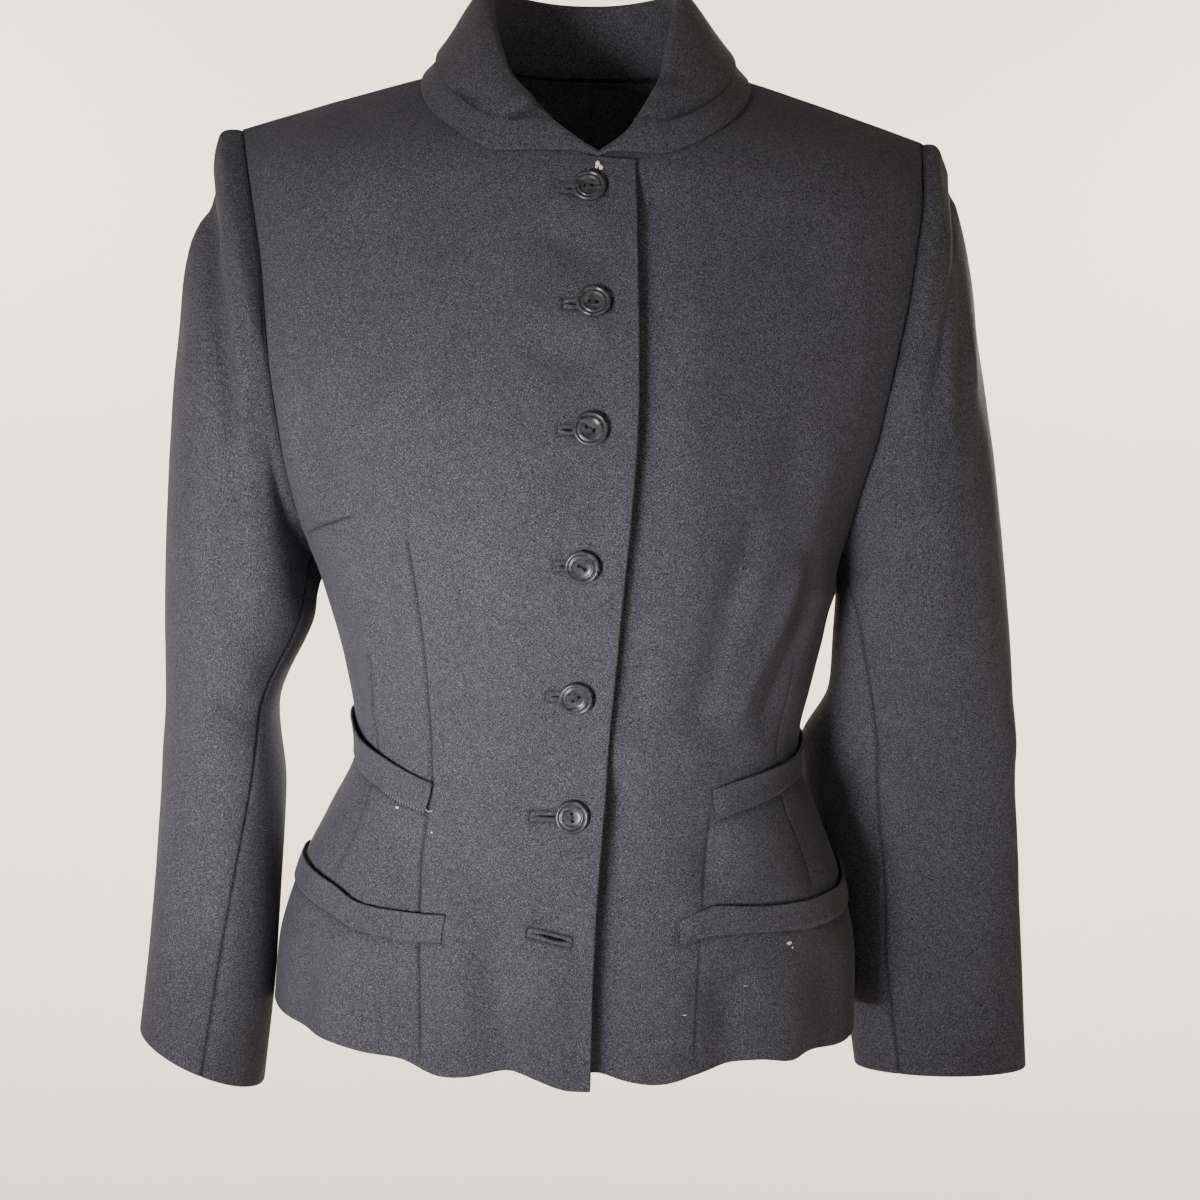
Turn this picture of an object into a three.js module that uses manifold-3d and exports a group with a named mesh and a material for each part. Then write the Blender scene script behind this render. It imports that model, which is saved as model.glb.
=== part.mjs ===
// Fitted wool jacket, worn form: two lapped fronts, two backs, two-piece sleeves, a rolled
// collar over an edge band, waist and hip welts, six buttons and seven bound buttonholes.
// Millimetres. +Z up, the front faces -Y, +X is the wearer's left.
// Origin: centre of the neck base, level with the neck ends of the shoulder seams.
import * as THREE from 'three';
import { mergeVertices } from 'three/addons/utils/BufferGeometryUtils.js';
import Module from 'manifold-3d';

const wasm = await Module();
wasm.setup();

// ---------------------------------------------------------------- driving sizes
const CLOTH = 2.0; // wall: wool with its lining
const SEAM = 0.4; // clearance across a seam
const LAY = 0.4; // clearance under a piece that lies on another
const SIDE_Y = 5; // plane of the side and shoulder seams
const UNDERARM = 290; // rise of the underarm point
const NECK_FRONT = 521; // rise where the front neckline starts
const NECK_BACK = 560; // rise where the back neckline starts
const TOP = 605; // rise of the shoulder seam
const LAP_LIFT = 3.1; // how far the upper front rides over the lower one
const LAP_FROM = -62; // where the upper front starts to rise over the lower one's edge
const LAP_FULL = -30; // and where it has risen
const UNDER_EDGE = 22; // lower front's edge beyond the centre line

// Rows of one front from hem to shoulder. rise: distance up the panel; mid and side: height at
// the centre and at the side seam or armhole; reach: half width; depth: how far the centre lies
// before the side plane; lead: how far the outer end lies before it; square: fullness of the
// curve; neck: where the row starts once it meets the neckline.
const FRONT_ROWS = [
  { rise: 0, mid: -588, side: -588, reach: 183, depth: 123, lead: 0, square: 2.3, neck: 0 },
  { rise: 45, mid: -543, side: -543, reach: 181, depth: 122, lead: 0, square: 2.3, neck: 0 },
  { rise: 95, mid: -493, side: -493, reach: 169, depth: 118, lead: 0, square: 2.3, neck: 0 },
  { rise: 130, mid: -458, side: -458, reach: 154, depth: 114, lead: 0, square: 2.3, neck: 0 },
  { rise: 173, mid: -415, side: -415, reach: 137.5, depth: 112, lead: 0, square: 2.25, neck: 0 },
  { rise: 225, mid: -363, side: -363, reach: 145, depth: 119, lead: 0, square: 2.2, neck: 0 },
  { rise: 290, mid: -299, side: -316, reach: 158, depth: 136, lead: 0, square: 2.2, neck: 0 },
  { rise: 310, mid: -280, side: -297, reach: 164.5, depth: 139, lead: 19, square: 2.2, neck: 0 },
  { rise: 335, mid: -255, side: -270, reach: 171, depth: 138, lead: 43, square: 2.2, neck: 0 },
  { rise: 370, mid: -220, side: -232, reach: 178, depth: 134, lead: 58, square: 2.2, neck: 0 },
  { rise: 410, mid: -180, side: -190, reach: 184, depth: 124, lead: 61, square: 2.2, neck: 0 },
  { rise: 450, mid: -140, side: -150, reach: 188.5, depth: 111, lead: 55, square: 2.25, neck: 0 },
  { rise: 490, mid: -101, side: -114, reach: 193, depth: 97, lead: 45, square: 2.3, neck: 0 },
  { rise: 521, mid: -71, side: -90, reach: 197, depth: 87, lead: 34, square: 2.3, neck: 0.5 },
  { rise: 545, mid: -56, side: -74, reach: 200.5, depth: 76, lead: 25, square: 2.3, neck: 40 },
  { rise: 570, mid: -34, side: -59, reach: 204, depth: 50, lead: 14, square: 2.3, neck: 57 },
  { rise: 590, mid: -13, side: -48, reach: 206.5, depth: 22, lead: 5, square: 2.3, neck: 64 },
  { rise: 605, mid: 0, side: -42, reach: 208, depth: 0.3, lead: 0.1, square: 2.3, neck: 66 },
];

// The same for one back, behind the side plane.
const BACK_ROWS = [
  { rise: 0, mid: -590, side: -588, reach: 183, depth: 101, lead: 0, square: 2.3, neck: 0 },
  { rise: 45, mid: -545, side: -543, reach: 181, depth: 104, lead: 0, square: 2.3, neck: 0 },
  { rise: 95, mid: -493, side: -493, reach: 169, depth: 102, lead: 0, square: 2.3, neck: 0 },
  { rise: 130, mid: -458, side: -458, reach: 154, depth: 90, lead: 0, square: 2.3, neck: 0 },
  { rise: 173, mid: -413, side: -415, reach: 137.5, depth: 73, lead: 0, square: 2.25, neck: 0 },
  { rise: 225, mid: -361, side: -363, reach: 145, depth: 80, lead: 0, square: 2.25, neck: 0 },
  { rise: 290, mid: -298, side: -316, reach: 158, depth: 94, lead: 0, square: 2.3, neck: 0 },
  { rise: 310, mid: -278, side: -297, reach: 164.5, depth: 97, lead: 15, square: 2.3, neck: 0 },
  { rise: 335, mid: -252, side: -270, reach: 172, depth: 100, lead: 37, square: 2.3, neck: 0 },
  { rise: 370, mid: -214, side: -232, reach: 181, depth: 103, lead: 50, square: 2.35, neck: 0 },
  { rise: 410, mid: -171, side: -190, reach: 188, depth: 103, lead: 53, square: 2.35, neck: 0 },
  { rise: 450, mid: -127, side: -150, reach: 193, depth: 98, lead: 49, square: 2.35, neck: 0 },
  { rise: 490, mid: -82, side: -114, reach: 198, depth: 88, lead: 40, square: 2.35, neck: 0 },
  { rise: 521, mid: -46, side: -90, reach: 201.5, depth: 76, lead: 30, square: 2.3, neck: 0 },
  { rise: 545, mid: -15, side: -74, reach: 204, depth: 62, lead: 21, square: 2.3, neck: 0 },
  { rise: 560, mid: 2, side: -65, reach: 205, depth: 53, lead: 15, square: 2.3, neck: 0.5 },
  { rise: 575, mid: 2, side: -56, reach: 206, depth: 48, lead: 10, square: 2.3, neck: 38 },
  { rise: 590, mid: 1, side: -48, reach: 207, depth: 30, lead: 5, square: 2.3, neck: 58 },
  { rise: 605, mid: 0, side: -42, reach: 208, depth: 0.3, lead: 0.1, square: 2.3, neck: 66 },
];

// Upper front's edge, from the square top corner to the hem.
const LAP_EDGE = [
  { z: -600, x: 11 }, { z: -518, x: 12 }, { z: -462, x: 14 }, { z: -406, x: 17 },
  { z: -336, x: 23 }, { z: -271, x: 27 }, { z: -207, x: 29 }, { z: -124, x: 27 },
  { z: -71, x: 25 },
];

// Hem heights across both fronts, and plainly across the back.
const HEM = {
  front_right: [
    { x: -188, z: -575 }, { x: -170, z: -576 }, { x: -144, z: -577 }, { x: -116, z: -581 },
    { x: -97, z: -582 }, { x: -74, z: -587 }, { x: -57, z: -587 }, { x: -36, z: -581 },
    { x: -23, z: -583 }, { x: 3, z: -592 }, { x: 12, z: -591 },
  ],
  front_left: [
    { x: -30, z: -583 }, { x: 12, z: -583 }, { x: 29, z: -588 }, { x: 45, z: -589 },
    { x: 72, z: -584 }, { x: 109, z: -580 }, { x: 128, z: -583 }, { x: 138, z: -581 },
    { x: 163, z: -587 }, { x: 180, z: -589 },
  ],
  back_right: [{ x: -188, z: -575 }, { x: -120, z: -584 }, { x: 0, z: -588 }],
  back_left: [{ x: 0, z: -588 }, { x: 180, z: -589 }],
};
const HEM_BLEND = 90; // height over which the hem's waves die out

// Sideways lean of the body at each height.
const LEAN = [
  { z: -600, x: -6 }, { z: -500, x: -4 }, { z: -415, x: -1 }, { z: -320, x: -2 },
  { z: -220, x: 0 }, { z: 0, x: 0 },
];

// How far each armhole is cut out (+) or in (-) of the rows above, and the shoulder tips with it.
const ARMHOLE_CUT = {
  right: [
    { rise: 290, x: 0 }, { rise: 461, x: 0 }, { rise: 490, x: 1 }, { rise: 521, x: 3 },
    { rise: 560, x: 4 }, { rise: 605, x: 5 },
  ],
  left: [
    { rise: 290, x: 0 }, { rise: 305, x: -5 }, { rise: 325, x: -8 }, { rise: 350, x: -9.5 },
    { rise: 377, x: -7.5 }, { rise: 405, x: -6 }, { rise: 433, x: -3.5 }, { rise: 461, x: -1 },
    { rise: 521, x: 0 }, { rise: 545, x: -2 }, { rise: 575, x: -4.5 }, { rise: 605, x: -6 },
  ],
};

// The deepest folds of the fronts, as lines on the cloth. deep: out (+) or in (-) at its middle.
const FOLDS = {
  front_right: [
    { x1: -132, z1: -300, x2: -112, z2: -404, wide: 13, deep: 2.2 },
    { x1: -118, z1: -318, x2: -98, z2: -404, wide: 11, deep: -2 },
    { x1: -102, z1: -440, x2: -96, z2: -500, wide: 14, deep: -1.6 },
  ],
  front_left: [
    { x1: 150, z1: -292, x2: 98, z2: -405, wide: 11, deep: 2.4 },
    { x1: 128, z1: -290, x2: 84, z2: -404, wide: 10, deep: -2.6 },
    { x1: 104, z1: -286, x2: 66, z2: -400, wide: 12, deep: 1.6 },
  ],
};

// Sleeve sections below the underarm. z: height; out: centre's distance from the middle;
// fore: centre's place in depth; half, deep: half width and half depth before turning;
// turn: degrees that the section is turned, front inwards; tip: rise of the section away from
// the body for each mm; cut: its rise towards the front; swing: degrees that the front seam
// wanders forwards.
const SLEEVE = {
  right: [
    { z: -345, out: 214.5, fore: 3, half: 44.5, deep: 61, turn: 20, tip: 0, cut: 0, swing: -40 },
    { z: -394, out: 223.8, fore: 0, half: 34.6, deep: 58, turn: 18, tip: 0.05, cut: 0, swing: -48 },
    { z: -440, out: 222, fore: -3, half: 38, deep: 55, turn: 18, tip: 0.12, cut: 0, swing: -62 },
    { z: -500, out: 224, fore: -8, half: 38, deep: 51, turn: 18, tip: 0.2, cut: 0.02, swing: -74 },
    { z: -560, out: 227.3, fore: -12, half: 38.3, deep: 48, turn: 18, tip: 0.32, cut: 0.06, swing: -82 },
    { z: -614, out: 232.5, fore: -16, half: 38, deep: 46, turn: 18, tip: 0.44, cut: 0.14, swing: -85 },
  ],
  left: [
    { z: -345, out: 214, fore: 14, half: 55, deep: 52, turn: 14, tip: 0, cut: 0, swing: -42 },
    { z: -380, out: 216, fore: 20, half: 58, deep: 43, turn: 20, tip: 0, cut: 0, swing: -55 },
    { z: -420, out: 210, fore: 28, half: 70, deep: 33, turn: 24, tip: 0.01, cut: 0, swing: -71 },
    { z: -460, out: 215.5, fore: 37, half: 68.5, deep: 30, turn: 22, tip: 0.02, cut: 0, swing: -68 },
    { z: -510, out: 225, fore: 38, half: 63, deep: 30, turn: 18, tip: 0.03, cut: 0, swing: -62 },
    { z: -560, out: 232, fore: 34, half: 59, deep: 30, turn: 15, tip: 0.04, cut: 0.03, swing: -54 },
    { z: -629, out: 240.5, fore: 30, half: 55, deep: 29, turn: 12, tip: 0.06, cut: 0.08, swing: -52 },
  ],
};
const SEAM_TURN = { front: 168, back: 235 }; // where the sleeve's two seams leave the armhole
// Sleeve heads. bold: how far each leaves the armhole sideways; roll, dip: how far the padded
// edge by the armhole stands out and the hollow below it falls in.
const HEAD = {
  right: { bold: 100, roll: 9, dip: 5 },
  left: { bold: 92, roll: 4.5, dip: 0 },
};
const HEAD_ROWS = [0, 0.035, 0.09, 0.16, 0.25, 0.37, 0.51, 0.67, 0.84];
const HEAD_DOWN = 260; // how straight a sleeve then falls

// ---------------------------------------------------------------- small helpers
const mix = (a, b, k) => a + (b - a) * k;
const clamp01 = (v) => Math.min(1, Math.max(0, v));
const ease = (a, b, v) => {
  const k = clamp01((v - a) / (b - a));
  return k * k * (3 - 2 * k);
};
const rad = (deg) => (deg * Math.PI) / 180;
const V = (x, y, z) => new THREE.Vector3(x, y, z);

// A smooth reading of one column of a table against its first column, without overshoot.
function track(rows, at, key) {
  const table = [...rows].sort((a, b) => a[at] - b[at]);
  const n = table.length;
  const xs = table.map((row) => row[at]);
  const ys = table.map((row) => row[key]);
  const step = xs.slice(1).map((x, i) => (ys[i + 1] - ys[i]) / (x - xs[i]));
  const slope = ys.map((_, i) => {
    if (i === 0) return step[0];
    if (i === n - 1) return step[n - 2];
    const a = step[i - 1];
    const b = step[i];
    return a * b <= 0 ? 0 : (2 * a * b) / (a + b);
  });
  return (v) => {
    if (v <= xs[0]) return ys[0];
    if (v >= xs[n - 1]) return ys[n - 1];
    let i = 0;
    while (v > xs[i + 1]) i += 1;
    const h = xs[i + 1] - xs[i];
    const k = (v - xs[i]) / h;
    const k2 = k * k;
    const k3 = k2 * k;
    return (2 * k3 - 3 * k2 + 1) * ys[i] + (k3 - 2 * k2 + k) * h * slope[i]
      + (3 * k2 - 2 * k3) * ys[i + 1] + (k3 - k2) * h * slope[i + 1];
  };
}
function tracks(table, at) {
  const out = {};
  for (const key of Object.keys(table[0])) {
    if (key !== at) out[key] = track(table, at, key);
  }
  return out;
}

// Points at even shares of a polyline's length.
function spread(line, count) {
  const run = [0];
  for (let i = 1; i < line.length; i += 1) run.push(run[i - 1] + line[i].distanceTo(line[i - 1]));
  const total = run[run.length - 1];
  const out = [];
  let i = 0;
  for (let c = 0; c < count; c += 1) {
    const want = (total * c) / (count - 1);
    while (i < line.length - 2 && run[i + 1] < want) i += 1;
    const k = (want - run[i]) / (run[i + 1] - run[i]);
    out.push(line[i].clone().lerp(line[i + 1], clamp01(k)));
  }
  return out;
}

// ---------------------------------------------------------------- body panels
const body = { front: tracks(FRONT_ROWS, 'rise'), back: tracks(BACK_ROWS, 'rise') };
const lapEdge = track(LAP_EDGE, 'z', 'x');
const lean = track(LEAN, 'z', 'x');
const armholeCut = { '-1': track(ARMHOLE_CUT.right, 'rise', 'x'), 1: track(ARMHOLE_CUT.left, 'rise', 'x') };
const hem = {};
for (const name of Object.keys(HEM)) hem[name] = track(HEM[name], 'x', 'z');

// One row of a panel as points from the centre or neckline out to the side seam or armhole.
// part: 'front' or 'back'; hand: -1 wearer's right, 1 wearer's left.
function panelRow(part, hand, rise, count) {
  const face = part === 'front' ? -1 : 1;
  const row = body[part];
  const mid = row.mid(rise);
  const side = row.side(rise);
  const reach = row.reach(rise) + (rise > UNDERARM ? armholeCut[hand](rise) : 0);
  const depth = row.depth(rise);
  const power = 2 / row.square(rise);
  const neckFrom = part === 'front' ? NECK_FRONT : NECK_BACK;
  let start = SEAM / 2;
  if (part === 'front') start = hand < 0 ? -lapEdge(mid) : -UNDER_EDGE;
  if (rise >= neckFrom) start = row.neck(rise);
  const end = Math.acos(Math.pow(clamp01(row.lead(rise) / depth), 1 / power));
  const wide = reach / Math.pow(Math.sin(end), power);
  const first = Math.sign(start) * Math.asin(Math.pow(Math.abs(start) / wide, 1 / power));
  const line = [];
  const fine = 72;
  const hemLine = hem[`${part}_${hand < 0 ? 'right' : 'left'}`];
  for (let i = 0; i <= fine; i += 1) {
    const a = mix(first, end, i / fine);
    const out = Math.sign(a) * wide * Math.pow(Math.abs(Math.sin(a)), power);
    const share = clamp01((Math.abs(out) - Math.max(start, 0)) / (reach - Math.max(start, 0)));
    let z = mix(mid, side, Math.pow(share, mix(1.6, 1.1, ease(NECK_FRONT, TOP, rise))));
    const x = hand * out + lean(z);
    let y = SIDE_Y + face * (SEAM / 2 + depth * Math.pow(Math.max(Math.cos(a), 0), power));
    if (part === 'front' && hand < 0) {
      y -= LAP_LIFT * ease(LAP_FROM, LAP_FULL, x) * (1 - ease(NECK_FRONT, NECK_FRONT + 30, rise));
    }
    const fade = Math.pow(1 - clamp01(rise / HEM_BLEND), 1.5);
    z += (hemLine(x) - row.mid(0)) * fade;
    line.push(V(x, y, z));
  }
  return spread(line, count);
}

// Rises of the rows of every panel: even below the underarm, closer round the armhole, with a
// narrow pair where the front's square top corner meets the neckline.
const BELOW = 13;
const LOW_RISES = Array.from({ length: BELOW }, (_, i) => (UNDERARM * i) / BELOW);
const HIGH_RISES = [
  UNDERARM, 305, 325, 350, 377, 405, 433, 461, 489, NECK_FRONT - 2, NECK_FRONT, 543, NECK_BACK,
  575, 590, TOP,
];
const RISES = [...LOW_RISES, ...HIGH_RISES];

// ---------------------------------------------------------------- closed shells
// Turns a grid of outer-face points into a closed wall. flip: which way the face looks;
// flat(j, i): axis that the wall's edge must not lean along, or null.
function wallNormals(grid, flip) {
  const rows = grid.length;
  const cols = grid[0].length;
  const a = V(0, 0, 0);
  const b = V(0, 0, 0);
  return grid.map((line, j) => line.map((p, i) => {
    a.subVectors(line[Math.min(i + 1, cols - 1)], line[Math.max(i - 1, 0)]);
    b.subVectors(grid[Math.min(j + 1, rows - 1)][i], grid[Math.max(j - 1, 0)][i]);
    return V(0, 0, 0).crossVectors(a, b).multiplyScalar(flip).normalize();
  }));
}

function shellGeometry(outer, inner) {
  const rows = outer.length;
  const cols = outer[0].length;
  const pos = [];
  for (const grid of [outer, inner]) for (const line of grid) for (const p of line) pos.push(p.x, p.y, p.z);
  const at = (layer, j, i) => layer * rows * cols + j * cols + i;
  const tri = [];
  const quad = (a, b, c, d) => tri.push(a, b, c, a, c, d);
  for (let j = 0; j < rows - 1; j += 1) {
    for (let i = 0; i < cols - 1; i += 1) {
      quad(at(0, j, i), at(0, j, i + 1), at(0, j + 1, i + 1), at(0, j + 1, i));
      quad(at(1, j, i), at(1, j + 1, i), at(1, j + 1, i + 1), at(1, j, i + 1));
    }
  }
  const rim = (a, b) => quad(at(0, ...b), at(0, ...a), at(1, ...a), at(1, ...b));
  for (let i = 0; i < cols - 1; i += 1) {
    rim([0, i], [0, i + 1]);
    rim([rows - 1, i + 1], [rows - 1, i]);
  }
  for (let j = 0; j < rows - 1; j += 1) {
    rim([j, cols - 1], [j + 1, cols - 1]);
    rim([j + 1, 0], [j, 0]);
  }
  return fixWinding(pos, tri);
}

// Faces out: the signed volume decides.
function fixWinding(pos, tri) {
  let volume = 0;
  for (let t = 0; t < tri.length; t += 3) {
    const [a, b, c] = [tri[t], tri[t + 1], tri[t + 2]].map((k) => pos.slice(3 * k, 3 * k + 3));
    volume += a[0] * (b[1] * c[2] - b[2] * c[1]) - a[1] * (b[0] * c[2] - b[2] * c[0])
      + a[2] * (b[0] * c[1] - b[1] * c[0]);
  }
  if (volume < 0) for (let t = 0; t < tri.length; t += 3) [tri[t], tri[t + 1]] = [tri[t + 1], tri[t]];
  const geometry = new THREE.BufferGeometry();
  geometry.setAttribute('position', new THREE.Float32BufferAttribute(pos, 3));
  geometry.setIndex(tri);
  return geometry;
}

function shell(grid, flip, flat = () => null, thick = CLOTH) {
  const normals = wallNormals(grid, flip);
  const inner = grid.map((line, j) => line.map((p, i) => {
    const n = normals[j][i].clone();
    const axis = flat(j, i);
    if (axis) {
      n[axis] = 0;
      n.normalize();
    }
    return p.clone().addScaledVector(n, -thick);
  }));
  return shellGeometry(grid, inner);
}

const WOOL = { color: 0x5b5a60, roughness: 0.95, metalness: 0 };
const group = new THREE.Group();
function add(name, geometry, look = WOOL) {
  const mesh = new THREE.Mesh(geometry, new THREE.MeshStandardMaterial(look));
  mesh.name = name;
  group.add(mesh);
}

// Presses a panel's folds into its grid. Each dies out at its own ends and at the panel's edges.
function creased(name, grid, flip) {
  const normals = wallNormals(grid, flip);
  return grid.map((line, j) => line.map((p, i) => {
    const share = i / (line.length - 1);
    const fade = ease(0.2, 0.4, share) * (1 - ease(0.85, 1, share));
    let push = 0;
    for (const { x1, z1, x2, z2, wide, deep } of FOLDS[name] || []) {
      const long = (x2 - x1) ** 2 + (z2 - z1) ** 2;
      const k = ((p.x - x1) * (x2 - x1) + (p.z - z1) * (z2 - z1)) / long;
      const off = Math.hypot(p.x - mix(x1, x2, k), p.z - mix(z1, z2, k));
      push += deep * Math.exp(-((off / wide) ** 2)) * ease(-0.1, 0.3, k) * (1 - ease(0.8, 1.15, k));
    }
    return p.clone().addScaledVector(normals[j][i], push * fade);
  }));
}

// ---------------------------------------------------------------- fronts and backs
const FRONT_COLS = 15;
const BACK_COLS = 13;
const panels = {};
for (const [name, part, hand, cols] of [
  ['front_right', 'front', -1, FRONT_COLS], ['front_left', 'front', 1, FRONT_COLS],
  ['back_right', 'back', -1, BACK_COLS], ['back_left', 'back', 1, BACK_COLS],
]) {
  const flip = part === 'front' ? hand : -hand;
  const grid = creased(name, RISES.map((rise) => panelRow(part, hand, rise, cols)), flip);
  const flat = (j, i) => {
    if (j === grid.length - 1) return 'y';
    if (i === cols - 1 && j <= BELOW) return 'y';
    if (part === 'back' && i === 0) return 'x';
    return null;
  };
  panels[name] = { grid, normals: wallNormals(grid, flip), solid: shell(grid, flip, flat) };
}

// A point on a panel's faceted outer face, moved out by `lift`. share: place along the row.
function onPanel(name, rise, share, lift) {
  const { grid, normals } = panels[name];
  let j = 0;
  while (j < RISES.length - 2 && RISES[j + 1] < rise) j += 1;
  const kj = clamp01((rise - RISES[j]) / (RISES[j + 1] - RISES[j]));
  const f = share * (grid[0].length - 1);
  const i = Math.min(Math.floor(f), grid[0].length - 2);
  const ki = f - i;
  const blend = (from) => from[j][i].clone().lerp(from[j][i + 1], ki)
    .lerp(from[j + 1][i].clone().lerp(from[j + 1][i + 1], ki), kj);
  return blend(grid).addScaledVector(blend(normals).normalize(), lift);
}

// ---------------------------------------------------------------- sleeves
const AROUND = [...HIGH_RISES].reverse(); // armhole points from the shoulder down
const PER_HALF = AROUND.length - 1;
function armhole(hand) {
  const loop = [];
  for (let i = 0; i <= PER_HALF; i += 1) {
    loop.push(panelRow('front', hand, AROUND[i], 2)[1]);
  }
  for (let i = 1; i < PER_HALF; i += 1) {
    loop.push(panelRow('back', hand, AROUND[PER_HALF - i], 2)[1]);
  }
  return loop;
}

function sleeveRings(hand, down) {
  const loop = armhole(hand);
  const table = tracks(SLEEVE[hand < 0 ? 'right' : 'left'], 'z');
  const count = loop.length;
  const run = [0];
  for (let i = 1; i <= count; i += 1) {
    run.push(run[i - 1] + loop[i % count].distanceTo(loop[i - 1]));
  }
  const half = run[PER_HALF];
  const rest = run[count] - half;
  const angle = loop.map((_, i) => (i <= PER_HALF ? (180 * run[i]) / half : 180 + (180 * (run[i] - half)) / rest));
  const weight = (a) => {
    if (a <= SEAM_TURN.front) return a / SEAM_TURN.front;
    return clamp01((SEAM_TURN.back - a) / (SEAM_TURN.back - SEAM_TURN.front));
  };
  const section = (z, i) => {
    const a = rad(angle[i] + table.swing(z) * weight(angle[i]));
    const turn = rad(table.turn(z));
    const u = table.half(z) * Math.cos(a);
    const v = -table.deep(z) * Math.sin(a);
    const out = u * Math.cos(turn) + v * Math.sin(turn);
    const fore = -u * Math.sin(turn) + v * Math.cos(turn);
    return V(hand * (table.out(z) + out), table.fore(z) + fore, z + table.tip(z) * out - table.cut(z) * fore);
  };
  const sections = SLEEVE[hand < 0 ? 'right' : 'left'];
  const head = HEAD[hand < 0 ? 'right' : 'left'];
  const first = sections[0].z;
  const last = sections[sections.length - 1].z;
  const rings = HEAD_ROWS.map((k) => loop.map((p, i) => {
    const from = p.clone();
    from.x += hand * 0.7;
    const to = section(first, i);
    const span = Math.max(from.distanceTo(to) / 300, 0.08);
    const up = Math.cos(rad(angle[i]));
    const fore = -Math.sin(rad(angle[i]));
    const leave = V(hand * head.bold, fore * 40, 10 - 60 * Math.max(up, 0)).multiplyScalar(span);
    const below = section(first - 20, i).sub(section(first, i)).divideScalar(20);
    const k2 = k * k;
    const k3 = k2 * k;
    const gone = k * span * 300;
    const bump = head.roll * gone * Math.exp(1 - gone / 13) / 13 - head.dip * Math.exp(-(((gone - 38) / 15) ** 2));
    const top = Math.max(up, 0);
    return from.multiplyScalar(2 * k3 - 3 * k2 + 1)
      .addScaledVector(leave, k3 - 2 * k2 + k)
      .addScaledVector(to, 3 * k2 - 2 * k3)
      .addScaledVector(below, (k3 - k2) * HEAD_DOWN * span)
      .add(V(hand * bump * top, fore * bump * 0.4 * (up > -0.5 ? 1 : 0), bump * 0.35 * top));
  }));
  for (let j = 0; j <= down; j += 1) {
    rings.push(loop.map((_, i) => section(mix(first, last, j / down), i)));
  }
  return rings;
}

const SEAM_FRONT = 14; // armhole columns where the sleeve's two seams start
const SEAM_BACK = 19;
for (const [side, hand] of [['right', -1], ['left', 1]]) {
  const rings = sleeveRings(hand, 9);
  const count = rings[0].length;
  const normals = rings.map((ring, j) => ring.map((p, i) => {
    const a = V(0, 0, 0).subVectors(ring[(i + 1) % count], ring[(i + count - 1) % count]);
    const b = V(0, 0, 0).subVectors(rings[Math.min(j + 1, rings.length - 1)][i], rings[Math.max(j - 1, 0)][i]);
    return V(0, 0, 0).crossVectors(a, b).multiplyScalar(hand).normalize();
  }));
  for (const [name, from, to] of [
    [`sleeve_${side}_top`, SEAM_BACK - count, SEAM_FRONT], [`sleeve_${side}_under`, SEAM_FRONT, SEAM_BACK],
  ]) {
    const outer = [];
    const inner = [];
    rings.forEach((ring, j) => {
      const line = [];
      const lineIn = [];
      for (let i = from; i <= to; i += 1) {
        const k = (i + count) % count;
        const p = ring[k].clone();
        if (i === from || i === to) {
          const next = ring[(k + (i === from ? 1 : -1) + count) % count];
          p.lerp(next, (SEAM / 2) / p.distanceTo(next));
        }
        line.push(p);
        const n = normals[j][k].clone();
        if (j === 0) n.setX(0).normalize();
        lineIn.push(p.clone().addScaledVector(n, -CLOTH));
      }
      outer.push(line);
      inner.push(lineIn);
    });
    add(name, shellGeometry(outer, inner));
  }
}

// ---------------------------------------------------------------- collar
// Sections of the collar round the neck. turn: degrees from the centre front; roll and crest:
// distance of the roll line from the neck's axis and its height; edge: distance of the outer
// edge; least: the lowest that the edge may lie; bulge: how full the fall is; top, foot:
// sideways lean of the roll line and of the edge.
const COLLAR = [
  { turn: 0, roll: 78, crest: -68.2, edge: 79, least: -70.3, bulge: 0.3, top: 5, foot: 5 },
  { turn: 10, roll: 79, crest: -59, edge: 82.5, least: -71.5, bulge: 0.6, top: 4, foot: 0 },
  { turn: 20, roll: 77, crest: -46, edge: 85, least: -90, bulge: 0.8, top: 1, foot: -3 },
  { turn: 28, roll: 76, crest: -33, edge: 88.3, least: -90, bulge: 0.8, top: -1, foot: -5 },
  { turn: 36, roll: 73, crest: -22, edge: 92, least: -90, bulge: 0.6, top: -3, foot: -5 },
  { turn: 46, roll: 68, crest: -3, edge: 95.8, least: -90, bulge: -0.5, top: -5, foot: -4 },
  { turn: 62, roll: 62.5, crest: 24, edge: 98.7, least: -90, bulge: -2, top: -6, foot: -4 },
  { turn: 75, roll: 59.5, crest: 36, edge: 99, least: -90, bulge: -2.4, top: -6, foot: -4 },
  { turn: 90, roll: 57, crest: 42, edge: 98, least: -90, bulge: -2.4, top: -6, foot: -4 },
  { turn: 120, roll: 56, crest: 45, edge: 91, least: -90, bulge: -1, top: -6, foot: -4 },
  { turn: 150, roll: 55, crest: 46, edge: 80, least: -90, bulge: 1, top: -6, foot: -4 },
  { turn: 180, roll: 54.5, crest: 46, edge: 76, least: -90, bulge: 1.5, top: -6, foot: -4 },
];
const NECK_Y = -5; // the neck's axis
const LEAF_ENDS = 19; // degrees from the centre front where the upper layer ends
const BAND_SHOWS = 17.5; // width of the edge band below the upper layer
const BAND_UNDER = 6; // and how far it runs on beneath it
const BAND = 2.0; // thickness of the band
const LEAF = 2.2; // thickness of the folded upper layer
const COLLAR_LAY = 0.8; // clearance of the band over the body, and of the upper layer over it
const ROLL_RADIUS = 2.8;
const collar = tracks(COLLAR, 'turn');

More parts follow.
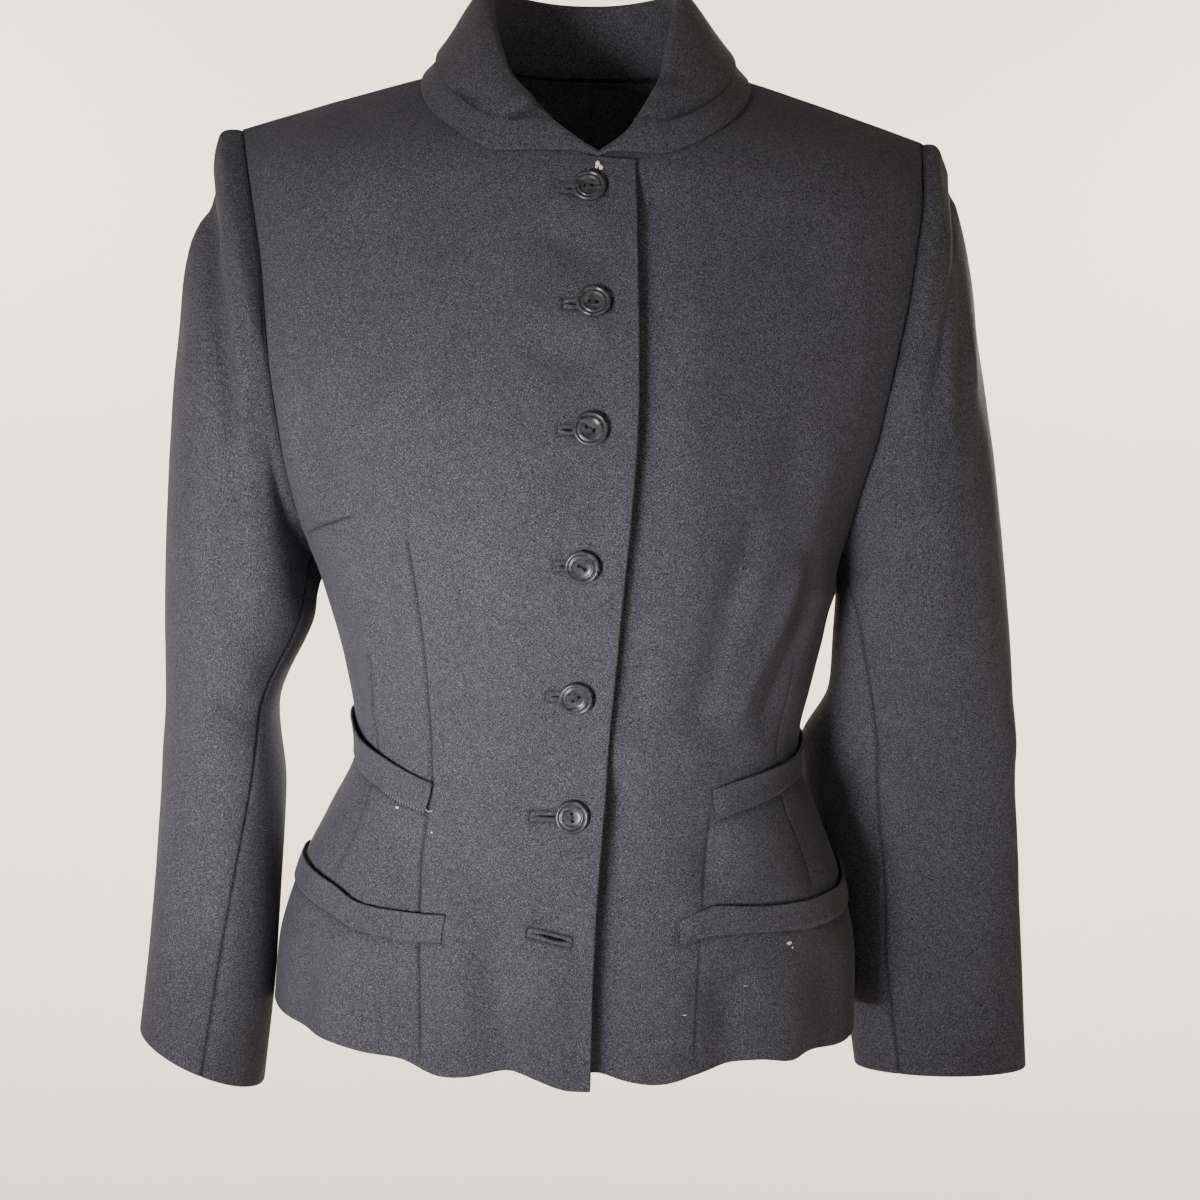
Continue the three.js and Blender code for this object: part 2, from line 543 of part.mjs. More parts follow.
// Height of the body's outer face over a point, and how far to rise for a clearance square to it.
const bodyTriangles = [];
for (const name of Object.keys(panels)) {
  const { grid } = panels[name];
  for (let j = BELOW + 5; j < grid.length - 1; j += 1) {
    for (let i = 0; i < grid[0].length - 1; i += 1) {
      bodyTriangles.push([grid[j][i], grid[j][i + 1], grid[j + 1][i + 1]]);
      bodyTriangles.push([grid[j][i], grid[j + 1][i + 1], grid[j + 1][i]]);
    }
  }
}
function bodyTop(x, y, again = true) {
  let top = -Infinity;
  for (const [a, b, c] of bodyTriangles) {
    const area = (b.x - a.x) * (c.y - a.y) - (c.x - a.x) * (b.y - a.y);
    if (Math.abs(area) < 1e-9) continue;
    const u = ((b.x - x) * (c.y - y) - (c.x - x) * (b.y - y)) / area;
    const v = ((c.x - x) * (a.y - y) - (a.x - x) * (c.y - y)) / area;
    const w = 1 - u - v;
    if (u >= -1e-6 && v >= -1e-6 && w >= -1e-6) top = Math.max(top, u * a.z + v * b.z + w * c.z);
  }
  if (top > -Infinity || !again) return top;
  return Math.max(...[[-1, 0], [1, 0], [0, -1], [0, 1]].map(([a, b]) => bodyTop(x + a, y + b, false)));
}

// Outline of the collar at one turn: the neckline point, the roll's crest and the outer edge.
function neckLine() {
  const line = [];
  for (const part of ['front', 'back']) {
    const from = part === 'front' ? NECK_FRONT : NECK_BACK;
    for (const rise of RISES) if (rise >= from) line.push(panelRow(part, 1, rise, 2)[0]);
  }
  return line;
}
const neckPoints = neckLine().map((p) => ({
  turn: (Math.atan2(p.x, NECK_Y - p.y) * 180) / Math.PI,
  reach: Math.hypot(p.x, p.y - NECK_Y),
  z: p.z,
})).sort((a, b) => a.turn - b.turn);
const neckReach = track(neckPoints, 'turn', 'reach');
const neckZ = track(neckPoints, 'turn', 'z');

// A point of the collar in the upright plane at a turn. side: -1 wearer's right, 1 left.
function neckFrame(turn, side, reach, z) {
  const a = rad(turn);
  const shift = mix(collar.foot(turn), collar.top(turn), ease(neckZ(turn), collar.crest(turn), z));
  return V(side * reach * Math.sin(a) + shift, NECK_Y - reach * Math.cos(a), z);
}

// The fall's outer face from the roll to the edge, as [reach, z] pairs, kept off the body.
function fallLine(turn, count) {
  const start = [collar.roll(turn) + ROLL_RADIUS, collar.crest(turn)];
  const edge = collar.edge(turn);
  const over = (reach) => Math.max(...[-1, 1].map((hand) => {
    const p = neckFrame(turn, hand, reach, neckZ(turn));
    return bodyTop(p.x, p.y);
  }));
  const clear = (reach) => {
    const nearer = over(reach - 1.5);
    const slope = nearer > -Infinity ? (over(reach + 1.5) - nearer) / 3 : 0;
    return over(reach) + (BAND + COLLAR_LAY) * Math.hypot(1, Math.max(slope, -1.8));
  };
  const end = [edge, Math.max(clear(edge), collar.least(turn))];
  const across = [end[0] - start[0], end[1] - start[1]];
  const long = Math.hypot(...across);
  const bulge = collar.bulge(turn);
  const bend = [
    (start[0] + end[0]) / 2 - (across[1] / long) * bulge * 2,
    (start[1] + end[1]) / 2 + (across[0] / long) * bulge * 2,
  ];
  const line = [];
  for (let i = 0; i <= count; i += 1) {
    const k = i / count;
    const at = [0, 1].map((c) => (1 - k) * (1 - k) * start[c] + 2 * k * (1 - k) * bend[c] + k * k * end[c]);
    if (turn > LEAF_ENDS && at[0] > neckReach(turn) - 1) at[1] = Math.max(at[1], clear(at[0]));
    line.push(at);
  }
  return line;
}

// The point `back` mm before the end of a polyline of pairs, with the direction out of its face.
function fromEnd(line, back) {
  let left = back;
  for (let i = line.length - 1; i > 0; i -= 1) {
    const a = line[i - 1];
    const b = line[i];
    const step = Math.hypot(b[0] - a[0], b[1] - a[1]);
    if (left <= step || i === 1) {
      const k = Math.min(left / step, 1);
      const out = [-(b[1] - a[1]) / step, (b[0] - a[0]) / step];
      return { at: [mix(b[0], a[0], k), mix(b[1], a[1], k)], out };
    }
    left -= step;
  }
  return null;
}
const lengthOf = (line) => line.slice(1).reduce((sum, p, i) => sum + Math.hypot(p[0] - line[i][0], p[1] - line[i][1]), 0);

// The band: a strip along the fall's edge, running alone to the centre front.
function bandStation(turn, side, offset) {
  const line = fallLine(turn, 12);
  const whole = lengthOf(line);
  const under = Math.min(whole - 6.5, BAND_SHOWS + BAND_UNDER);
  const wide = mix(whole - 0.5, under, ease(LEAF_ENDS - 9, LEAF_ENDS - 1, turn));
  const points = [];
  for (let i = 0; i <= 3; i += 1) {
    const { at, out } = fromEnd(line, (wide * i) / 3);
    points.push(neckFrame(turn, side, at[0] + out[0] * offset, at[1] + out[1] * offset));
  }
  return points;
}
const BAND_TURNS = [1, 5, 10, 15, 19, 24, 30, 38, 46, 54, 62, 70, 78, 87, 95.7, 110, 121, 132, 141, 158, 180];
const bandPath = [
  ...BAND_TURNS.map((turn) => [turn, -1]), ...BAND_TURNS.slice(0, -1).reverse().map((turn) => [turn, 1]),
];
add('collar_band', shellGeometry(
  bandPath.map(([turn, side]) => bandStation(turn, side, 0)),
  bandPath.map(([turn, side]) => bandStation(turn, side, -BAND)),
));

// The upper layer: a stand inside the neck, the roll, and the fall down to the band.
function leafStation(turn, side, offset) {
  const roll = collar.roll(turn);
  const crest = collar.crest(turn);
  const line = fallLine(turn, 12);
  const foot = [neckReach(turn) - 1.6, neckZ(turn) + 2.5];
  const path = [];
  const top = crest - ROLL_RADIUS;
  for (const k of [0, 0.33, 0.66]) path.push([mix(foot[0], roll - ROLL_RADIUS, k), mix(foot[1], top, k)]);
  for (const a of [180, 125, 70, 15]) {
    path.push([roll + ROLL_RADIUS * Math.cos(rad(a)), top + ROLL_RADIUS * Math.sin(rad(a))]);
  }
  const raise = COLLAR_LAY + LEAF / 2;
  const falls = Math.max(lengthOf(line) - BAND_SHOWS, 4);
  for (const k of [0.72, 0.48, 0.24, 0]) {
    const { at, out } = fromEnd(line, BAND_SHOWS + falls * k);
    path.push([at[0] + out[0] * raise, at[1] + out[1] * raise]);
  }
  return path.map((p, i) => {
    const a = path[Math.max(i - 1, 0)];
    const b = path[Math.min(i + 1, path.length - 1)];
    const step = Math.hypot(b[0] - a[0], b[1] - a[1]);
    const out = [-(b[1] - a[1]) / step, (b[0] - a[0]) / step];
    return neckFrame(turn, side, p[0] + out[0] * offset, p[1] + out[1] * offset);
  });
}
const leafPath = bandPath.filter(([turn]) => turn >= LEAF_ENDS);
add('collar', shellGeometry(
  leafPath.map(([turn, side]) => leafStation(turn, side, LEAF / 2)),
  leafPath.map(([turn, side]) => leafStation(turn, side, -LEAF / 2)),
));

// ---------------------------------------------------------------- welts
// Stations along a welt, from its inner end to the side seam, in shares of the panel's row.
// low and high: rises of its edges; gape: how far its top edge stands off the panel.
const WELTS = {
  waist_welt_right: { on: 'front_right', rows: [
    { share: 0.457, low: 147, high: 163, gape: 0.4 }, { share: 0.53, low: 150, high: 167, gape: 1.5 },
    { share: 0.64, low: 156, high: 174, gape: 4 }, { share: 0.75, low: 160, high: 181, gape: 5.5 },
    { share: 0.86, low: 165, high: 189, gape: 4 }, { share: 0.995, low: 168, high: 193, gape: 1 },
  ] },
  waist_welt_left: { on: 'front_left', rows: [
    { share: 0.457, low: 146, high: 163, gape: 0.4 }, { share: 0.53, low: 150, high: 167, gape: 1 },
    { share: 0.64, low: 154, high: 171, gape: 2.5 }, { share: 0.75, low: 158, high: 174, gape: 3 },
    { share: 0.86, low: 160, high: 179, gape: 2.5 }, { share: 0.995, low: 163, high: 184, gape: 1 },
  ] },
  hip_welt_right: { on: 'front_right', rows: [
    { share: 0.328, low: 76, high: 91, gape: 0.4 }, { share: 0.43, low: 74.5, high: 90, gape: 0.8 },
    { share: 0.54, low: 76, high: 91, gape: 1.2 }, { share: 0.65, low: 82, high: 98, gape: 2 },
    { share: 0.8, low: 86, high: 102, gape: 2 }, { share: 0.995, low: 88, high: 105, gape: 1 },
  ] },
  hip_welt_left: { on: 'front_left', rows: [
    { share: 0.336, low: 78, high: 91, gape: 0.4 }, { share: 0.42, low: 82, high: 98, gape: 0.8 },
    { share: 0.55, low: 80.5, high: 95.5, gape: 1.2 }, { share: 0.68, low: 78, high: 94, gape: 1.5 },
    { share: 0.82, low: 78, high: 95, gape: 2 }, { share: 0.995, low: 84, high: 106, gape: 1 },
  ] },
};
const WELT = 1.8; // folded strip
for (const [name, { on, rows }] of Object.entries(WELTS)) {
  const at = tracks(rows, 'share');
  const first = rows[0].share;
  const last = rows[rows.length - 1].share;
  const cols = panels[on].grid[0].length - 1;
  const shares = [first];
  for (let i = 0; i <= cols; i += 1) if (i / cols > first + 0.01 && i / cols < last - 0.01) shares.push(i / cols);
  shares.push(last);
  const build = (lift) => shares.map((share) => [0, 0.5, 1].map((k) => {
    const rise = mix(at.low(share), at.high(share), k);
    return onPanel(on, rise, share, LAY + lift + at.gape(share) * k * k);
  }));
  add(name, shellGeometry(build(WELT), build(0)));
}

// ---------------------------------------------------------------- buttons and buttonholes
const BUTTON = { wide: 19, thick: 3.4, holes: 3.6, hole: 1.7, stem: 1.7 };
const LIP_END = 1.5; // how far the bound frame runs past each end of its slit
const LIP_TALL = 6;
// Heights of the closures, where each button sits, where its slit starts and how long it is,
// how far the slit falls along its length and how wide it opens.
const CLOSURES = [
  { rise: 501, button: 0, slit: -15, long: 21, fall: 0, gape: 2.6 },
  { rise: 435, button: 4, slit: -10, long: 21, fall: 0, gape: 2.6 },
  { rise: 367, button: 4, slit: -10, long: 21, fall: 0, gape: 2.6 },
  { rise: 293, button: 1, slit: -11, long: 21, fall: 0, gape: 2.6 },
  { rise: 218, button: -1, slit: -14, long: 21, fall: 0, gape: 2.6 },
  { rise: 150, button: -2, slit: -23, long: 27, fall: 0, gape: 2.6 },
  { rise: 83, button: null, slit: -24, long: 22, fall: 5, gape: 3.2 },
];

function toManifold(geometry) {
  const plain = new THREE.BufferGeometry();
  plain.setAttribute('position', geometry.getAttribute('position').clone());
  if (geometry.index) plain.setIndex(geometry.index.clone());
  const merged = mergeVertices(plain, 1e-4);
  return new wasm.Manifold(new wasm.Mesh({
    numProp: 3,
    vertProperties: new Float32Array(merged.getAttribute('position').array),
    triVerts: new Uint32Array(merged.index.array),
  }));
}
function fromManifold(solid) {
  const mesh = solid.getMesh();
  const geometry = new THREE.BufferGeometry();
  geometry.setAttribute('position', new THREE.Float32BufferAttribute(mesh.vertProperties, 3));
  geometry.setIndex(Array.from(mesh.triVerts));
  return geometry;
}

// A point of the upper front at a rise and an x, found along the row.
function onLap(rise, x, lift) {
  let low = 0;
  let high = 1;
  for (let k = 0; k < 30; k += 1) {
    const half = (low + high) / 2;
    if (onPanel('front_right', rise, half, 0).x > x) low = half;
    else high = half;
  }
  return onPanel('front_right', rise, low, lift);
}
// Frame of a closure: along the slit, up, and out of the cloth.
function closureFrame({ rise, slit, long, fall }) {
  const a = onLap(rise + fall / 2, slit, 0);
  const b = onLap(rise - fall / 2, slit + long, 0);
  const mid = a.clone().add(b).multiplyScalar(0.5);
  const along = b.clone().sub(a).normalize();
  const rough = onLap(rise + 5, mid.x, 0).sub(onLap(rise - 5, mid.x, 0)).normalize();
  const out = V(0, 0, 0).crossVectors(along, rough).normalize();
  const up = V(0, 0, 0).crossVectors(out, along);
  return { mid, along, up, out, frame: new THREE.Matrix4().makeBasis(along, up, out) };
}
function prism(shape, deep, { frame, mid }) {
  const geometry = new THREE.ExtrudeGeometry(shape, { depth: deep * 2, bevelEnabled: false, curveSegments: 4 });
  geometry.translate(0, 0, -deep);
  geometry.applyMatrix4(frame);
  geometry.translate(mid.x, mid.y, mid.z);
  return toManifold(geometry);
}
function rectangle(wide, tall) {
  const shape = new THREE.Shape();
  shape.moveTo(-wide / 2, -tall / 2);
  shape.lineTo(wide / 2, -tall / 2);
  shape.lineTo(wide / 2, tall / 2);
  shape.lineTo(-wide / 2, tall / 2);
  return shape;
}
function lens(wide, tall) {
  const shape = new THREE.Shape();
  shape.moveTo(-wide / 2, 0);
  shape.quadraticCurveTo(0, -tall, wide / 2, 0);
  shape.quadraticCurveTo(0, tall, -wide / 2, 0);
  return shape;
}

const wholeLap = toManifold(panels.front_right.solid);
let lap = wholeLap;
const CUT_DEEP = 5;
CLOSURES.forEach((closure, n) => {
  const spot = closureFrame(closure);
  const frame = closure.long + 2 * LIP_END;
  lap = lap.subtract(prism(rectangle(frame, LIP_TALL), CUT_DEEP, spot));
  const lips = wholeLap.intersect(prism(rectangle(frame - 2 * SEAM, LIP_TALL - 2 * SEAM), CUT_DEEP, spot))
    .subtract(prism(lens(closure.long, closure.gape), CUT_DEEP, spot));
  add(`buttonhole_${n + 1}`, fromManifold(lips));
});
add('front_right', fromManifold(lap));
for (const name of ['front_left', 'back_right', 'back_left']) add(name, panels[name].solid);

// A two-hole button: raised rim, groove, inner ring and dished middle, on its thread stem.
const HORN = { color: 0x2b2b2f, roughness: 0.35, metalness: 0 };
CLOSURES.forEach((closure, n) => {
  if (closure.button === null) return;
  const spot = closureFrame(closure);
  const seat = 0.5;
  const r = BUTTON.wide / 2;
  const t = BUTTON.thick;
  const profile = [
    [0, 0], [r - 2, 0], [r, 1.4], [r - 0.9, t], [r - 2.1, t - 0.2], [r - 2.7, t - 1.1],
    [r - 3.5, t - 0.5], [r - 5, t - 1.0], [0, t - 1.2],
  ].map(([a, b]) => new THREE.Vector2(a, b));
  const disc = new THREE.LatheGeometry(profile, 18);
  disc.rotateX(Math.PI / 2);
  const place = onLap(closure.rise, closure.button, 0);
  const put = (geometry) => {
    geometry.applyMatrix4(spot.frame);
    geometry.translate(place.x, place.y, place.z);
    return toManifold(geometry);
  };
  disc.translate(0, 0, seat);
  let solid = put(disc);
  for (const side of [-1, 1]) {
    const drill = new THREE.CylinderGeometry(BUTTON.hole / 2, BUTTON.hole / 2, 12, 6);
    drill.rotateX(Math.PI / 2);
    drill.translate((side * BUTTON.holes) / 2, 0, seat + 4);
    solid = solid.subtract(put(drill));
  }
  const long = LAP_LIFT * 0.9 - 0.4 + seat;
  const stem = new THREE.CylinderGeometry(BUTTON.stem / 2, BUTTON.stem / 2, long + 0.5, 8);
  stem.rotateX(Math.PI / 2);
  stem.translate(0, 0, seat + 0.5 - (long + 0.5) / 2);
  solid = solid.add(put(stem));
  add(`button_${n + 1}`, fromManifold(solid), HORN);
});

export default group;
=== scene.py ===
# %% [markdown]
# # A fitted riding jacket in charcoal wool
# This lesson dresses the plain solids of a tailored jacket, worn by nobody yet still holding its
# wearer's form. Each cut piece of cloth becomes a fine, folded wall on the form of its solid. Then
# come the sewing, the buttons and the wool itself. All lengths in the tables are millimetres: +Z is
# up, the front faces -Y and +X is the wearer's left. Blender's own units are metres.

# %% Start
import math

import bmesh
import bpy
import numpy as np
from mathutils import Matrix, Vector, noise
from mathutils.bvhtree import BVHTree


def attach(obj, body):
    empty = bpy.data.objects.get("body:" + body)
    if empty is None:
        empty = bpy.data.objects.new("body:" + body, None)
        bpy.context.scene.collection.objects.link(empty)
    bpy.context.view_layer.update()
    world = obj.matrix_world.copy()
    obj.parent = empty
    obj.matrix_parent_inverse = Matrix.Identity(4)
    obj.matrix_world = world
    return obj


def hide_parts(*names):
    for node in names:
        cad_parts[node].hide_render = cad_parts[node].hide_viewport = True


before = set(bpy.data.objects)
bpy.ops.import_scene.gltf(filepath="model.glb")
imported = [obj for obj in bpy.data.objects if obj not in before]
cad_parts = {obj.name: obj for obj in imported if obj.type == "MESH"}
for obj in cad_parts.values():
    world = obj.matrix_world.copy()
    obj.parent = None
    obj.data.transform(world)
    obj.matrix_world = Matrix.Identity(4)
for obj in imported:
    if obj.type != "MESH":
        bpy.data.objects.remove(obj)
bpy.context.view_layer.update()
MM = 0.001

# %% [markdown]
# ## Sizes of the cut
# A pattern cutter works from a few measured lines: the hem, the waist, the chest, the neck. The
# same lines drive this cloth, so it lies exactly on its solids. It could be sculpted freely
# instead, but then each piece would drift away from the solid that it stands for.

# %% Sizes
CLOTH = 2.0
SEAM = 0.4
# How far a rim stands out beyond the wall's edge: tight in a seam, full at a turned edge.
SEAM_FULL, ARMHOLE_FULL, HEAD_FULL, SHOULDER_FULL = 0.24, 0.5, 0.7, 0.5
HEM_FULL, FRONT_EDGE_FULL, NECK_FULL = 0.9, 0.8, 0.4
# A rise is a height on a panel, counted from the hem in steps of about a millimetre.
UNDERARM = 290
NECK_FRONT, NECK_BACK, TOP = 521, 560, 605
SIDE_Y = 5
# The right front laps over the left: how far it lifts, and between which x.
LAP_LIFT, LAP_FROM, LAP_FULL, LAP_FADE = 3.1, -62, -30, 30
UNDER_EDGE = 22
HEM_BLEND, HEM_POWER = 90, 1.5
# Rows bow between the middle and the side: how sharply below the neck, and at the shoulder.
ROW_BOW, SHOULDER_BOW = 1.6, 1.1
TINY, FAR = 1e-9, 1e9


def table(columns, rows):
    """A short table as one array for each named column."""
    cells = np.array(rows, float)
    return {name: cells[:, k] for k, name in enumerate(columns.split())}


BODY_ROWS = {
    "front": table("rise mid side reach depth lead square neck", [
        (0, -588, -588, 183, 123, 0, 2.3, 0), (45, -543, -543, 181, 122, 0, 2.3, 0),
        (95, -493, -493, 169, 118, 0, 2.3, 0), (130, -458, -458, 154, 114, 0, 2.3, 0),
        (173, -415, -415, 137.5, 112, 0, 2.25, 0), (225, -363, -363, 145, 119, 0, 2.2, 0),
        (290, -299, -316, 158, 136, 0, 2.2, 0), (310, -280, -297, 164.5, 139, 19, 2.2, 0),
        (335, -255, -270, 171, 138, 43, 2.2, 0), (370, -220, -232, 178, 134, 58, 2.2, 0),
        (410, -180, -190, 184, 124, 61, 2.2, 0), (450, -140, -150, 188.5, 111, 55, 2.25, 0),
        (490, -101, -114, 193, 97, 45, 2.3, 0), (521, -71, -90, 197, 87, 34, 2.3, 0.5),
        (545, -56, -74, 200.5, 76, 25, 2.3, 40), (570, -34, -59, 204, 50, 14, 2.3, 57),
        (590, -13, -48, 206.5, 22, 5, 2.3, 64), (605, 0, -42, 208, 0.3, 0.1, 2.3, 66)]),
    "back": table("rise mid side reach depth lead square neck", [
        (0, -590, -588, 183, 101, 0, 2.3, 0), (45, -545, -543, 181, 104, 0, 2.3, 0),
        (95, -493, -493, 169, 102, 0, 2.3, 0), (130, -458, -458, 154, 90, 0, 2.3, 0),
        (173, -413, -415, 137.5, 73, 0, 2.25, 0), (225, -361, -363, 145, 80, 0, 2.25, 0),
        (290, -298, -316, 158, 94, 0, 2.3, 0), (310, -278, -297, 164.5, 97, 15, 2.3, 0),
        (335, -252, -270, 172, 100, 37, 2.3, 0), (370, -214, -232, 181, 103, 50, 2.35, 0),
        (410, -171, -190, 188, 103, 53, 2.35, 0), (450, -127, -150, 193, 98, 49, 2.35, 0),
        (490, -82, -114, 198, 88, 40, 2.35, 0), (521, -46, -90, 201.5, 76, 30, 2.3, 0),
        (545, -15, -74, 204, 62, 21, 2.3, 0), (560, 2, -65, 205, 53, 15, 2.3, 0.5),
        (575, 2, -56, 206, 48, 10, 2.3, 38), (590, 1, -48, 207, 30, 5, 2.3, 58),
        (605, 0, -42, 208, 0.3, 0.1, 2.3, 66)]),
}
LAP_EDGE = table("z x", [(-600, 16.5), (-518, 15.5), (-462, 16), (-406, 17.5), (-336, 23), (-271, 27),
                         (-207, 29), (-124, 27), (-71, 25)])
HEM = {
    "front_right": table("x z", [
        (-188, -575), (-170, -576), (-144, -577), (-116, -581), (-97, -582), (-74, -587),
        (-57, -586), (-36, -582.5), (-18, -586), (3, -591), (12, -591)]),
    "front_left": table("x z", [
        (-30, -583), (12, -583), (29, -588), (45, -589), (72, -584), (109, -580), (128, -583),
        (138, -581), (163, -587), (180, -589)]),
    "back_right": table("x z", [(-188, -575), (-120, -584), (0, -588)]),
    "back_left": table("x z", [(0, -588), (180, -589)]),
}
LEAN = table("z x", [(-600, -6), (-500, -4), (-415, -1), (-320, -2), (-220, 0), (0, 0)])
ARMHOLE_CUT = {
    -1: table("rise x", [(290, 0), (461, 0), (490, 1), (521, 3), (560, 4), (605, 5)]),
    1: table("rise x", [(290, 0), (305, -5), (325, -8), (350, -9.5), (377, -7.5), (405, -6),
                        (433, -3.5), (461, -1), (521, 0), (545, -2), (575, -4.5), (605, -6)]),
}


def mix(a, b, k):
    return a + (b - a) * k


def ease(a, b, v):
    k = np.clip((np.asarray(v, float) - a) / (b - a), 0, 1)
    return k * k * (3 - 2 * k)


def curve(rows, at, key):
    """A smooth reading of one column against another, without overshoot."""
    order = np.argsort(rows[at])
    xs, ys = rows[at][order], rows[key][order]
    step = np.diff(ys) / np.diff(xs)
    a, b = step[:-1], step[1:]
    slope = np.concatenate([step[:1], np.where(a * b > 0, 2 * a * b / np.where(a + b == 0, 1, a + b), 0),
                            step[-1:]])

    def read(v):
        v = np.clip(v, xs[0], xs[-1])
        i = np.clip(np.searchsorted(xs, v, side="right") - 1, 0, len(xs) - 2)
        h = xs[i + 1] - xs[i]
        k = (v - xs[i]) / h
        return ((2 * k**3 - 3 * k**2 + 1) * ys[i] + (k**3 - 2 * k**2 + k) * h * slope[i]
                + (3 * k**2 - 2 * k**3) * ys[i + 1] + (k**3 - k**2) * h * slope[i + 1])
    return read


def curves(rows, at):
    return {key: curve(rows, at, key) for key in rows if key != at}


BODY = {part: curves(rows, "rise") for part, rows in BODY_ROWS.items()}
lap_edge = curve(LAP_EDGE, "z", "x")
lean = curve(LEAN, "z", "x")
armhole_cut = {hand: curve(rows, "rise", "x") for hand, rows in ARMHOLE_CUT.items()}
hem_line = {name: curve(rows, "x", "z") for name, rows in HEM.items()}
print("waist half width mm:", float(BODY["front"]["reach"](173)))

# %% [markdown]
# ## The skin of each panel
# A panel's row runs from the centre, or the neckline, out to the side seam or armhole. Rows a
# millimetre apart give a skin that can be read anywhere by two numbers: the rise up the panel and
# the share along the row. Welts, buttons and stitches later stand on this same skin.

# %% Panel rows
PANELS = {"front_right": ("front", -1), "front_left": ("front", 1),
          "back_right": ("back", -1), "back_left": ("back", 1)}
SHARES = 281


def panel_row(part, hand, rise, fine=260):
    """Points of one row, from the centre or neckline out to the side seam or armhole."""
    face = -1 if part == "front" else 1
    row = {key: float(read(rise)) for key, read in BODY[part].items()}
    reach = row["reach"] + (float(armhole_cut[hand](rise)) if rise > UNDERARM else 0)
    power = 2 / row["square"]
    start = SEAM / 2
    if part == "front":
        start = -float(lap_edge(row["mid"])) if hand < 0 else -UNDER_EDGE
    if rise >= (NECK_FRONT if part == "front" else NECK_BACK):
        start = row["neck"]
    end = math.acos(min(row["lead"] / row["depth"], 1) ** (1 / power))
    wide = reach / math.sin(end) ** power
    first = math.copysign(math.asin((abs(start) / wide) ** (1 / power)), start)
    a = np.linspace(first, end, fine + 1)
    out = np.sign(a) * wide * np.abs(np.sin(a)) ** power
    share = np.clip((np.abs(out) - max(start, 0)) / (reach - max(start, 0)), 0, 1)
    bow = mix(ROW_BOW, SHOULDER_BOW, float(ease(NECK_FRONT, TOP, rise)))
    z = mix(row["mid"], row["side"], share ** bow)
    x = hand * out + lean(z)
    y = SIDE_Y + face * (SEAM / 2 + row["depth"] * np.maximum(np.cos(a), 0) ** power)
    if part == "front" and hand < 0:
        below_neck = 1 - ease(NECK_FRONT, NECK_FRONT + LAP_FADE, rise)
        y -= LAP_LIFT * ease(LAP_FROM, LAP_FULL, x) * below_neck
    fade = (1 - min(rise / HEM_BLEND, 1)) ** HEM_POWER
    hem = hem_line[f"{part}_{'right' if hand < 0 else 'left'}"]
    z = z + (hem(x) - float(BODY[part]["mid"](0))) * fade
    return np.stack([x, y, z], 1)


def run_of(line):
    return np.concatenate([[0], np.cumsum(np.linalg.norm(np.diff(line, axis=0), axis=1))])


def skin_of(part, hand):
    rows = []
    for rise in range(TOP + 1):
        line = panel_row(part, hand, rise)
        run = run_of(line)
        want = np.linspace(0, run[-1], SHARES)
        rows.append(np.stack([np.interp(want, run, line[:, k]) for k in range(3)], 1))
    return np.array(rows)


def unit(v):
    return v / np.maximum(np.linalg.norm(v, axis=-1, keepdims=True), TINY)


def facing(grid, flip):
    """Normals of a grid of points, towards its outer face."""
    return unit(np.cross(np.gradient(grid, axis=1), np.gradient(grid, axis=0)) * flip)


skins = {name: skin_of(part, hand) for name, (part, hand) in PANELS.items()}
FLIP = {name: hand if part == "front" else -hand for name, (part, hand) in PANELS.items()}
print("skins:", {name: grid.shape for name, grid in skins.items()})

# %% [markdown]
# ## Folds and creases
# Wool this firm doesn't crumple. It pulls: long soft ridges run from the bust to the waist, short
# ones fan out from each armhole, and the skirt hangs in shallow flutes above its wavy hem. A cloth
# simulation would find folds of its own, so these are listed, each as a path on the cloth
# seen from the front, with its depth and its width.

# %% Folds
MAIN_FOLDS = {
    "front_right": table("x1 z1 x2 z2 wide deep", [
        (-132, -300, -112, -404, 13, 2.2), (-118, -318, -98, -404, 11, -2),
        (-102, -440, -96, -500, 14, -1.6)]),
    "front_left": table("x1 z1 x2 z2 wide deep", [
        (150, -292, 98, -405, 11, 2.4), (128, -290, 84, -404, 10, -2.6),
        (104, -286, 66, -400, 12, 1.6)]),
}
